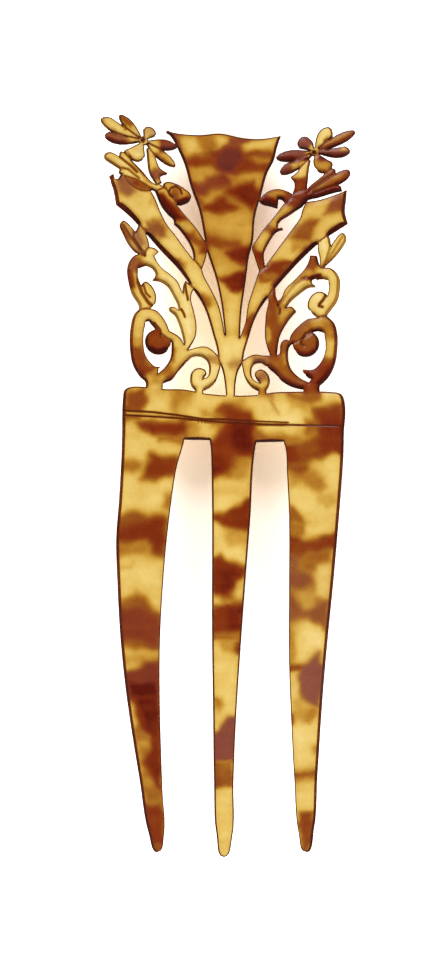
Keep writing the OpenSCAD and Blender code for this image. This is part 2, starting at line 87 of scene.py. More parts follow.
def from_view(uw, deep):
    """Bow angle and z of the points seen at u and w on the shell at a depth behind the middle."""
    rise = uw[:, 1] - VIEW_AT[1]
    gx = uw[:, 0] - VIEW_AT[0]
    gy = VIEW_FAR * math.cos(LOW) - rise * math.sin(LOW)
    gz = VIEW_FAR * math.sin(LOW) + rise * math.cos(LOW)
    r = BOW_R + deep
    from_axis = EYE[1] + BOW_R
    a = gx * gx + gy * gy
    b = VIEW_AT[0] * gx + from_axis * gy
    c = VIEW_AT[0] ** 2 + from_axis ** 2 - r * r
    s = (-b + np.sqrt(b * b - a * c)) / a
    return np.arcsin((VIEW_AT[0] + s * gx) / r), EYE[2] + s * gz


def on_shell(angle, z, deep):
    """Points at a bow angle and z, on the shell at a depth behind the middle."""
    r = BOW_R + deep
    return np.stack([r * np.sin(angle), -BOW_R + r * np.cos(angle), z], 1)


# ---- outlines, taken from the CAD nodes ----
def node_loops(obj):
    """Closed outlines of a node, in u and w, taken from its face on the hollow side of the bow."""
    mesh = obj.data
    mesh.calc_loop_triangles()
    co = np.zeros(len(mesh.vertices) * 3)
    mesh.vertices.foreach_get("co", co)
    co = co.reshape(-1, 3) / MM
    tri = np.zeros(len(mesh.loop_triangles) * 3, int)
    mesh.loop_triangles.foreach_get("vertices", tri)
    tri = tri.reshape(-1, 3)
    key = {}
    index = np.array([key.setdefault(tuple(p), len(key)) for p in np.round(co, 3)])
    point = np.zeros((len(key), 3))
    point[index] = co
    tri = index[tri]
    radius = np.hypot(point[:, 0], point[:, 1] + BOW_R)
    normal = np.cross(point[tri[:, 1]] - point[tri[:, 0]], point[tri[:, 2]] - point[tri[:, 0]])
    length = np.linalg.norm(normal, axis=1)
    facing = normal[:, 1] < -0.3 * length
    inner = (np.abs(radius - (BOW_R - DEEP)) < ON_SHELL)[tri].all(1)
    after = {}
    edges = set()
    for a, b, c in tri[facing & inner]:
        for e in ((a, b), (b, c), (c, a)):
            if (e[1], e[0]) in edges:
                edges.discard((e[1], e[0]))
            else:
                edges.add(e)
    for a, b in edges:
        after.setdefault(a, []).append(b)
    loops = []
    while after:
        start = next(iter(after))
        loop = [start]
        while True:
            nexts = after[loop[-1]]
            step = nexts.pop()
            if not nexts:
                del after[loop[-1]]
            if step == start:
                break
            loop.append(step)
        # The sides run straight back, so they pass the middle of the thickness at the same x and z
        middle = point[loop]
        middle[:, 1] = -BOW_R + np.sqrt(BOW_R ** 2 - middle[:, 0] ** 2)
        loops.append(to_view(middle))
    return loops


def area(loop):
    """Area inside an outline, less than zero if it runs clockwise."""
    x, y = loop[:, 0], loop[:, 1]
    return 0.5 * float(np.sum(x * np.roll(y, -1) - np.roll(x, -1) * y))


names = sorted(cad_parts)
loops = []
loop_of = []      # for each outline, its node and whether it is a hole
for at, name in enumerate(names):
    found = sorted(node_loops(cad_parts[name]), key=lambda loop: -abs(area(loop)))
    for i, loop in enumerate(found):
        if abs(area(loop)) > SPECK:
            loops.append(loop if area(loop) > 0 else loop[::-1])
            loop_of.append((at, i > 0))


def label(face_ids):
    """The node that a triangle belongs to, or -1."""
    inside = {}
    for i in face_ids:
        at, hole = loop_of[i]
        inside[at] = inside.get(at, True) and not hole
    for at in sorted(inside):
        if inside[at]:
            return at
    return -1


def triangulate(points):
    """Constrained triangulation of the outlines with extra points.

    Gives the verts, the triangles turned to face one way, their labels and twice their areas.
    """
    verts = [Vector(p) for loop in loops for p in loop] + [Vector(p) for p in points]
    faces, n = [], 0
    for loop in loops:
        faces.append(list(range(n, n + len(loop))))
        n += len(loop)
    out = geometry.delaunay_2d_cdt(verts, [], faces, 1, SAME_POINT, True)
    tri, lab = [], []
    for f, ids in zip(out[2], out[5]):
        at = label(ids)
        if at >= 0 and len(f) == 3:
            tri.append(f)
            lab.append(at)
    verts = np.array([tuple(v) for v in out[0]])
    tri = np.array(tri)
    twice = np.cross(verts[tri[:, 1]] - verts[tri[:, 0]], verts[tri[:, 2]] - verts[tri[:, 0]])
    tri[twice < 0] = tri[twice < 0][:, ::-1]
    return verts, tri, np.array(lab), np.abs(twice)


def sides_of(tri):
    """Directed edges of the triangles: everyone's first, then everyone's second, then the third."""
    return np.concatenate([tri[:, [0, 1]], tri[:, [1, 2]], tri[:, [2, 0]]])


def rim_edges(tri):
    """Directed edges that only one triangle has."""
    e = sides_of(tri)
    lo, hi = e.min(1), e.max(1)
    code = lo.astype(np.int64) * (e.max() + 1) + hi
    _, first, count = np.unique(code, return_index=True, return_counts=True)
    return e[first[count == 1]]


verts, tri, lab, _ = triangulate([])
edge = rim_edges(tri)
sides = np.sort(sides_of(tri), 1)
order = np.lexsort((sides[:, 1], sides[:, 0]))
sides, side_lab = sides[order], np.tile(lab, 3)[order]
met = (sides[1:] == sides[:-1]).all(1) & (side_lab[1:] != side_lab[:-1])
seam_a, seam_b = verts[sides[1:][met, 0]], verts[sides[1:][met, 1]]

# ---- the comb's silhouette, as short segments with outward normals ----
seg_a, seg_b = verts[edge[:, 0]], verts[edge[:, 1]]
seg_len = np.linalg.norm(seg_b - seg_a, axis=1)
keep = seg_len > 1e-6
seg_a, seg_b, seg_len = seg_a[keep], seg_b[keep], seg_len[keep]
seg_n = np.stack([(seg_b - seg_a)[:, 1], -(seg_b - seg_a)[:, 0]], 1) / seg_len[:, None]
samples, sample_seg = [], []
for i in range(len(seg_a)):
    n = max(1, int(math.ceil(seg_len[i] / SAMPLE_STEP)))
    for k in range(n):
        samples.append(seg_a[i] + (seg_b[i] - seg_a[i]) * (k + 0.5) / n)
        sample_seg.append(i)
samples = np.array(samples)
rim_tree = kdtree.KDTree(len(samples))
for i, p in enumerate(samples):
    rim_tree.insert((p[0], p[1], 0.0), i)
rim_tree.balance()


def rim_distance(p):
    """Distance to the silhouette, and the nearest segment, from the three nearest samples."""
    best, at = FAR_OFF, 0
    for _, i, _ in rim_tree.find_n((p[0], p[1], 0.0), 3):
        s = sample_seg[i]
        d = seg_b[s] - seg_a[s]
        t = min(1.0, max(0.0, float(np.dot(p - seg_a[s], d)) / (seg_len[s] ** 2)))
        q = seg_a[s] + d * t - p
        dist = math.hypot(q[0], q[1])
        if dist < best:
            best, at = dist, s
    return best, at


# From here on, paths and outlines are in u and w, in millimetres.
# Half width, depth, darkness of the painted shade, and path of each engraved line
ENGRAVED = [
    (0.30, 0.10, 0.95, [(-21.0, 5.9), (-15.2, 5.6), (-10.2, 5.0), (-5, 4.2), (0.2, 4.1), (4.6, 3.8)]),
    (0.26, 0.08, 0.80, [(4.6, 3.8), (12, 3.5)]),
    (0.30, 0.10, 0.95, [(-21.0, 5.0), (-15.2, 4.7), (-10.2, 4.4), (-5, 3.9), (-1.6, 3.6),
                        (3.6, 3.3), (8.8, 3.1), (23.0, 2.8)]),
    (0.45, 0.40, 0.6, [(-20, 57.4), (-19.2, 56), (-17.6, 54.2), (-16.6, 53)]),
    (0.40, 0.35, 0.6, [(-21.6, 56.6), (-20.6, 55.8), (-19.4, 54.8), (-18.2, 53.6)]),
    (0.40, 0.35, 0.5, [(-21.2, 54.4), (-20, 54.2), (-18.8, 53.2), (-17.8, 52.4)]),
    (0.35, 0.35, 0.7, [(-8.6, 31.6), (-8.4, 30), (-8, 28)]),
    (0.35, 0.35, 0.7, [(-9.4, 26.2), (-8.9, 25.4), (-8.6, 24.6)]),
    (0.55, 0.45, 0.6, [(-17.9, 34), (-18, 31.6), (-17.2, 29.4), (-16, 27.6), (-15.2, 26.8)]),
    (0.35, 0.30, 0.6, [(-16.9, 31), (-16.4, 29.4), (-15.6, 28.6)]),
    (0.45, 0.40, 0.6, [(-14.8, 23.4), (-13.6, 22), (-13.4, 20.8)]),
    (0.35, 0.35, 0.7, [(9.9, 27.2), (10.4, 26), (10.3, 25.2)]),
    (0.35, 0.35, 0.7, [(9.3, 30.3), (9.7, 29), (10.1, 28)]),
    (0.50, 0.40, 0.25, [(15.6, 32.6), (13.4, 31.2), (11.4, 28.6), (10, 26.8)]),
    (0.45, 0.45, 0.7, [(19.6, 29), (19, 28), (18.3, 27.2), (18.2, 26.8), (18.9, 26.6)]),
    (0.40, 0.40, 0.7, [(18, 21.8), (16.6, 21.8), (15.4, 21.2), (14.8, 20.2), (14.6, 19.2),
                       (15.2, 18.9)]),
    (0.50, 0.45, 0.6, [(21.4, 53.4), (19.6, 52.2), (17.6, 50.8), (15.8, 49.2)]),
    (0.45, 0.40, 0.6, [(21.8, 51.2), (19.4, 50.4), (17, 49.4)]),
    (0.45, 0.40, 0.35, [(20.6, 38.9), (19.8, 36.6), (19.2, 34.8)]),
    (0.40, 0.35, 0.3, [(22.8, 40.6), (21.2, 38), (19.8, 35.8)]),
    (0.45, 0.40, 0.6, [(-18.6, 41.6), (-18.9, 40.4), (-18, 39), (-16.6, 37)]),
    (0.40, 0.35, 0.5, [(-20.9, 43), (-19.4, 40.6), (-17.8, 38.4), (-16.6, 36.8)]),
    (0.35, 0.40, 0.8, [(8.8, 41.2), (9.8, 42), (11, 42.2)]),
    (0.30, 0.35, 0.8, [(-9.2, 49.2), (-9.6, 50.2), (-10.5, 50.8), (-11.4, 50.4), (-11.9, 49.6),
                       (-11.6, 48.9), (-11.0, 48.5), (-10.3, 48.3)]),
]

# ---- points inside: rings along the rim, grids, and rows along seams and engraved lines ----
extra = []
ring_points = []
for i in range(len(seg_a)):
    n = max(1, int(round(seg_len[i] / RIM_STEP)))
    for k in range(n):
        on = seg_a[i] + (seg_b[i] - seg_a[i]) * (k + 0.5) / n
        for off in RIM_RINGS:
            ring_points.append((on - seg_n[i] * off, off))
for p, off in ring_points:
    d, _ = rim_distance(p)
    # Drops the points that another stretch of the rim comes close to
    if d > off * 0.9:
        extra.append(p)
low, high = verts.min(0), verts.max(0)
# Spacing, and the lowest and highest u and w, of each grid
GRIDS = (
    (COARSE_STEP, low[0], high[0], low[1], CREST_FROM),
    (FINE_STEP, low[0], high[0], CREST_FROM, high[1]),
    (SCORED_STEP, SCORED[0], SCORED[1], SCORED[2] - 0.4, SCORED[3] + 0.4),
)


def keep_inside(p, gap):
    """Adds a point to the mesh if it lies inside the comb, clear of the rim."""
    d, s = rim_distance(p)
    mid = (seg_a[s] + seg_b[s]) / 2
    if d > gap and float(np.dot(p - mid, seg_n[s])) < 0:
        extra.append(p)


for pitch, u_low, u_high, w_low, w_high in GRIDS:
    for j in range(int((w_high - w_low) / (pitch * GRID_ROW)) + 1):
        for i in range(int((u_high - u_low) / pitch) + 1):
            p = np.array([u_low + (i + 0.5 * (j % 2)) * pitch, w_low + j * pitch * GRID_ROW])
            keep_inside(p, RIM_RINGS[-1] + pitch * 0.45)
for a, b in zip(seam_a, seam_b):
    n = int(np.linalg.norm(b - a) / SEAM_STEP)
    for k in range(1, n):
        keep_inside(a + (b - a) * k / n, SEAM_STEP)
for half, _, _, line in ENGRAVED:
    line = np.array(line, float)
    for a, b in zip(line[:-1], line[1:]):
        run = np.linalg.norm(b - a)
        side = np.array([-(b - a)[1], (b - a)[0]]) / run
        n = max(1, int(run / LINE_STEP))
        for k in range(n):
            on = a + (b - a) * k / n
            for off in (-1.5, -1.0, -0.5, 0.0, 0.5, 1.0, 1.5):
                keep_inside(on + side * off * half, RIM_RINGS[-1] + 0.03)
verts, tri, lab, twice = triangulate(extra)
tri, lab = tri[twice > 1e-7], lab[twice > 1e-7]
used = np.unique(tri)
renumber = np.full(len(verts), -1)
renumber[used] = np.arange(len(used))
verts, tri = verts[used], renumber[tri]
edge = rim_edges(tri)
COUNT = len(verts)

# ---- fields over the mesh ----
links = np.unique(np.sort(sides_of(tri), 1), axis=0)
degree = np.bincount(links.ravel(), minlength=COUNT)


def smoothed(field, rounds, fixed=None):
    """The field with every value moved to the mean of its neighbours, except the fixed ones."""
    for _ in range(rounds):
        mean = (np.bincount(links[:, 0], field[links[:, 1]], COUNT)
                + np.bincount(links[:, 1], field[links[:, 0]], COUNT)) / degree
        field = mean if fixed is None else np.where(fixed, field, mean)
    return field


def step(low_end, high_end, x):
    """0 below the low end, 1 above the high end, and smooth between."""
    t = np.clip((x - low_end) / (high_end - low_end), 0.0, 1.0)
    return t * t * (3 - 2 * t)


def by_node(table, usual):
    """A value for every point, from a table of the nodes, or of parts of their names.

    Points that nodes share get the mean.
    """
    total, share = np.zeros(COUNT), np.zeros(COUNT)
    values = np.array([next((table[k] for k in table if k in names[i]), usual) for i in lab], float)
    for corner in range(3):
        np.add.at(total, tri[:, corner], values)
        np.add.at(share, tri[:, corner], 1)
    return total / share


rim_d = np.zeros(COUNT)
near_seg = np.zeros(COUNT, int)
for i in range(COUNT):
    rim_d[i], near_seg[i] = rim_distance(verts[i])
on_rim = np.zeros(COUNT, bool)
on_rim[edge.ravel()] = True
rim_d[on_rim] = 0.0
rim_n = np.zeros((COUNT, 2))
along = verts[edge[:, 1]] - verts[edge[:, 0]]
edge_n = np.stack([along[:, 1], -along[:, 0]], 1)
for end in (0, 1):
    np.add.at(rim_n, edge[:, end], edge_n / np.maximum(np.linalg.norm(edge_n, axis=1), 1e-9)[:, None])
rim_n /= np.maximum(np.linalg.norm(rim_n, axis=1), 1e-9)[:, None]
facing = np.where(on_rim[:, None], rim_n, seg_n[near_seg])

# Seen from the camera, in millimetres: the most that a wall shows beyond the front
# edge, and the least that a wall facing down shows
WALL_MOST = {"_petal_": 0.34, "_eye": 0.05, "_stalk": 0.34, "_spray": 0.42, "_sprig": 0.42, "_leaf": 0.42,
             "_prong": 0.5, "heading": 0.6}
WALL_LEAST = {"left_plume": 1.1, "right_plume": 1.0, "centre_fan": 0.6, "_petal_": 0.40, "_eye": 0.05,
              "_stalk": 0.34, "_leaf": 0.42, "_sprig": 0.40, "_curl": 0.70, "left_ring_disc": 0.8,
              "right_ring_disc": 0.45, "heading": 0.6, "_prong": 0.2}

# A wall that is in sight is seen between the outline and the front edge, so the
# front edge is drawn in by as much as the wall shows. Where a wall is out of sight,
# the back edge is drawn in instead, so that it stays hidden.
angle, z = from_view(verts, RIM_FRONT)
wall = to_view(on_shell(angle, z, RIM_BACK)) - to_view(on_shell(angle, z, RIM_FRONT))
outward = np.sum(wall * facing, 1)
downward = np.clip(-facing[:, 1], 0, 1)
most = by_node(WALL_MOST, 0.75)
inset = most * np.tanh(np.maximum(0.0, outward) / most)
inset = np.maximum(inset, by_node(WALL_LEAST, 0.55) * step(0.3, 0.85, downward))


def spread_inward(values):
    """A vector field that is kept on the rim and fades evenly across the inside."""
    return np.stack([smoothed(values[:, k], INWARD_ROUNDS, on_rim) for k in (0, 1)], 1)


def along_rim(values, rounds):
    """A vector field evened out along the rim, so that it turns gently round the tips."""
    values = values.copy()
    number = np.bincount(edge.ravel(), minlength=COUNT)
    for _ in range(rounds):
        near = np.zeros_like(values)
        np.add.at(near, edge[:, 0], values[edge[:, 1]])
        np.add.at(near, edge[:, 1], values[edge[:, 0]])
        values[on_rim] = 0.5 * values[on_rim] + 0.5 * near[on_rim] / number[on_rim][:, None]
    return values


INWARD_ROUNDS = 260
ALONG_ROUNDS = 4
seen = verts + spread_inward(along_rim(-facing * inset[:, None], ALONG_ROUNDS))
seen_back = verts + spread_inward(along_rim(facing * np.minimum(0.0, outward)[:, None], ALONG_ROUNDS))

# ---- seams that are carved ----
# The nodes on each side of a seam that stays smooth
SMOOTH_JOINTS = [("centre_fan", "crest_neck"), ("crest_neck", "heading_bar"),
                 ("heading_bar", "centre_prong"), ("left_acanthus", "left_base_scroll")]
for side in ("left_", "right_"):
    SMOOTH_JOINTS += [
        ("heading_bar", side + "prong"), ("heading_bar", side + "base_scroll"),
        ("heading_bar", side + "lower_ring"), ("crest_neck", side + "plume"),
        (side + "acanthus", side + "lower_ring"), (side + "acanthus", side + "upper_scroll"),
        (side + "base_scroll", side + "lower_ring"),
    ]
smooth_pairs = {tuple(sorted(names.index(n) for n in pair)) for pair in SMOOTH_JOINTS}
pair_of = {}
for t in range(len(tri)):
    for a, b in ((0, 1), (1, 2), (2, 0)):
        ends = (tri[t, a], tri[t, b]) if tri[t, a] < tri[t, b] else (tri[t, b], tri[t, a])
        pair_of.setdefault(ends, []).append(lab[t])
petal_ids = {i for i, n in enumerate(names) if "_petal_" in n}
eye_ids = {i for i, n in enumerate(names) if "_eye" in n}
seam_points = []
for (a, b), owners in pair_of.items():
    # A flower's eye has its own hollow, so no groove is cut round it
    merged = tuple(sorted(owners)) in smooth_pairs or eye_ids.intersection(owners)
    if len(owners) == 2 and owners[0] != owners[1] and not merged:
        both = owners[0] in petal_ids and owners[1] in petal_ids
        for k in (0.0, 0.5):
            p = seen[a] + (seen[b] - seen[a]) * k
            seam_points.append((p[0], p[1], 1.0 if both else 0.0))
seam_tree = kdtree.KDTree(len(seam_points))
for i, p in enumerate(seam_points):
    seam_tree.insert((p[0], p[1], 0.0), i)
seam_tree.balance()
seam_d = np.full(COUNT, FAR_OFF)
seam_petal = np.zeros(COUNT)
for i in np.flatnonzero(verts[:, 1] > CREST_FROM):
    _, j, seam_d[i] = seam_tree.find((seen[i, 0], seen[i, 1], 0.0))
    seam_petal[i] = seam_points[j][2]


def path_distance(points, path):
    """Distance of points to a path."""
    best = np.full(len(points), FAR_OFF)
    path = np.array(path, float)
    for a, b in zip(path[:-1], path[1:]):
        d = b - a
        t = np.clip(((points - a) @ d) / (d @ d), 0.0, 1.0)
        best = np.minimum(best, np.linalg.norm(points - a - t[:, None] * d, axis=1))
    return best


# Half width, height and path of each raised ridge
RIDGES = [
    (0.8, 0.22, [(-15.2, 37.8), (-13, 34.4), (-10, 31), (-8.4, 27), (-7.8, 22), (-7.6, 19)]),
    (0.7, 0.20, [(-19.4, 34), (-19.2, 30.6), (-18, 27.8)]),
]
# Centre, radius, depth and darkness of the painted shade of each hollow
HOLLOWS = [
    ((-17.0, 60.0), 0.62, 0.9, 1.0), ((17.2, 57.5), 0.58, 0.9, 1.0), ((-10.6, 49.6), 0.75, 0.25, 0.0),
    ((-9.6, 42.8), 0.35, 0.2, 0.0), ((-18.3, 51.3), 0.8, 0.3, 0.3),
]

# ---- how deep the front is carved, and the painted shade in its grooves, lines and hollows ----
crest = step(CREST_FROM - 0.5, CREST_FROM + 1.5, seen[:, 1])
# A soft fall toward the rim
carved = np.where(seen[:, 1] > CREST_FROM, 0.16, 0.10) * (1 - step(0.0, 1.5, rim_d))
# Grooves along the seams, deeper between petals
groove = np.where(seam_petal > 0.5, 0.45, 0.22)
carved += crest * groove * np.clip(1 - seam_d / 0.7, 0, 1) ** 1.3
# Painted shade along the grooves, darker between petals
dark = crest * np.where(seam_petal > 0.5, 0.70, 0.6) * (1 - step(0.05, 0.30, seam_d))
# Each engraved line is cut in, with painted shade along it
for half, depth, tint, line in ENGRAVED:
    d = path_distance(seen, line)
    carved += depth * np.clip(1 - d / half, 0, 1) ** 1.2
    dark = np.maximum(dark, tint * (1 - step(0.25 * half, half, d)))
for half, height, line in RIDGES:
    carved -= height * np.clip(1 - path_distance(seen, line) / half, 0, 1)
# Each hollow is cut in, with painted shade in it
for (cu, cw), radius, depth, tint in HOLLOWS:
    r = np.hypot(seen[:, 0] - cu, seen[:, 1] - cw) / radius
    carved += depth * np.exp(-r * r)
    dark = np.maximum(dark, tint * (1 - step(0.5, 1.1, r)))
# The bevel on the crest's down-facing rims
carved += crest * 0.32 * step(0.25, 0.9, downward) * np.clip(1 - rim_d / 0.75, 0, 1)
# Nothing stands proud by more than 0.05 mm, or is cut deeper than 1.3 mm
carved = np.clip(carved, -0.05, 1.3)
from_round = np.maximum(0.0, EDGE_R - rim_d)
rounding = EDGE_R - np.sqrt(EDGE_R ** 2 - from_round ** 2)
deep_front = -DEEP + np.minimum(carved + rounding, 1.5)
deep_back = DEEP - rounding
deep_back -= np.where(crest > 0.5, 0.25, 0.1) * (1 - step(0.0, 1.5, rim_d))
deep_back -= 0.35 * np.clip(carved - 0.3, 0, 0.6) * (rim_d > EDGE_R)
# Where a line is carved deep near the rim, the back keeps clear of the front
deep_back = np.maximum(deep_back, deep_front + LEAST_LEFT)
angle, z = from_view(seen, deep_front)
back_angle, back_z = from_view(seen_back, deep_back)

# ---- colour: how dark the mottling is (tone), and how mauve ----
BASE_TONE = {
    "centre_fan": 0.34, "crest_neck": 0.08, "heading_bar": 0.13, "left_prong": 0.12, "centre_prong": 0.12,
    "right_prong": 0.12, "left_plume": 0.13, "right_plume": 0.2, "left_spray": 0.10, "left_stem": 0.25,
    "right_stem": 0.25, "right_spray": 0.62, "right_under_leaf": 0.95, "left_lens_leaf": 0.72,
    "left_upper_scroll": 0.12, "right_upper_scroll": 0.08, "left_acanthus": 0.04, "right_acanthus": 0.40,
    "left_lower_ring": 0.18, "right_lower_ring": 0.6, "left_ring_disc": 0.78, "right_ring_disc": 0.68,
    "left_base_scroll": 0.05, "right_base_scroll": 0.14, "left_curl": 0.3, "right_curl": 0.4,
    "left_flower_stalk": 0.10, "right_flower_stalk": 0.14, "left_outer_sprig": 0.2,
    "right_outer_sprig": 0.04, "left_flower_eye": 0.35, "right_flower_eye": 0.4,
}
PETAL_TONES = {
    "left": (0.06, 0.18, 0.15, 0.20, 0.14, 0.05, 0.30),
    "right": (0.06, 0.62, 0.68, 0.38, 0.20, 0.80, 0.80),
}
for side, tones in PETAL_TONES.items():
    for number, petal_tone in enumerate(tones, 1):
        BASE_TONE[f"{side}_petal_{number}"] = petal_tone
BASE_MAUVE = {"left_petal_3": 0.5, "right_petal_3": 0.45, "right_petal_6": 0.5, "right_petal_7": 0.6,
              "right_petal_2": 0.15, "left_outer_sprig": 0.3}

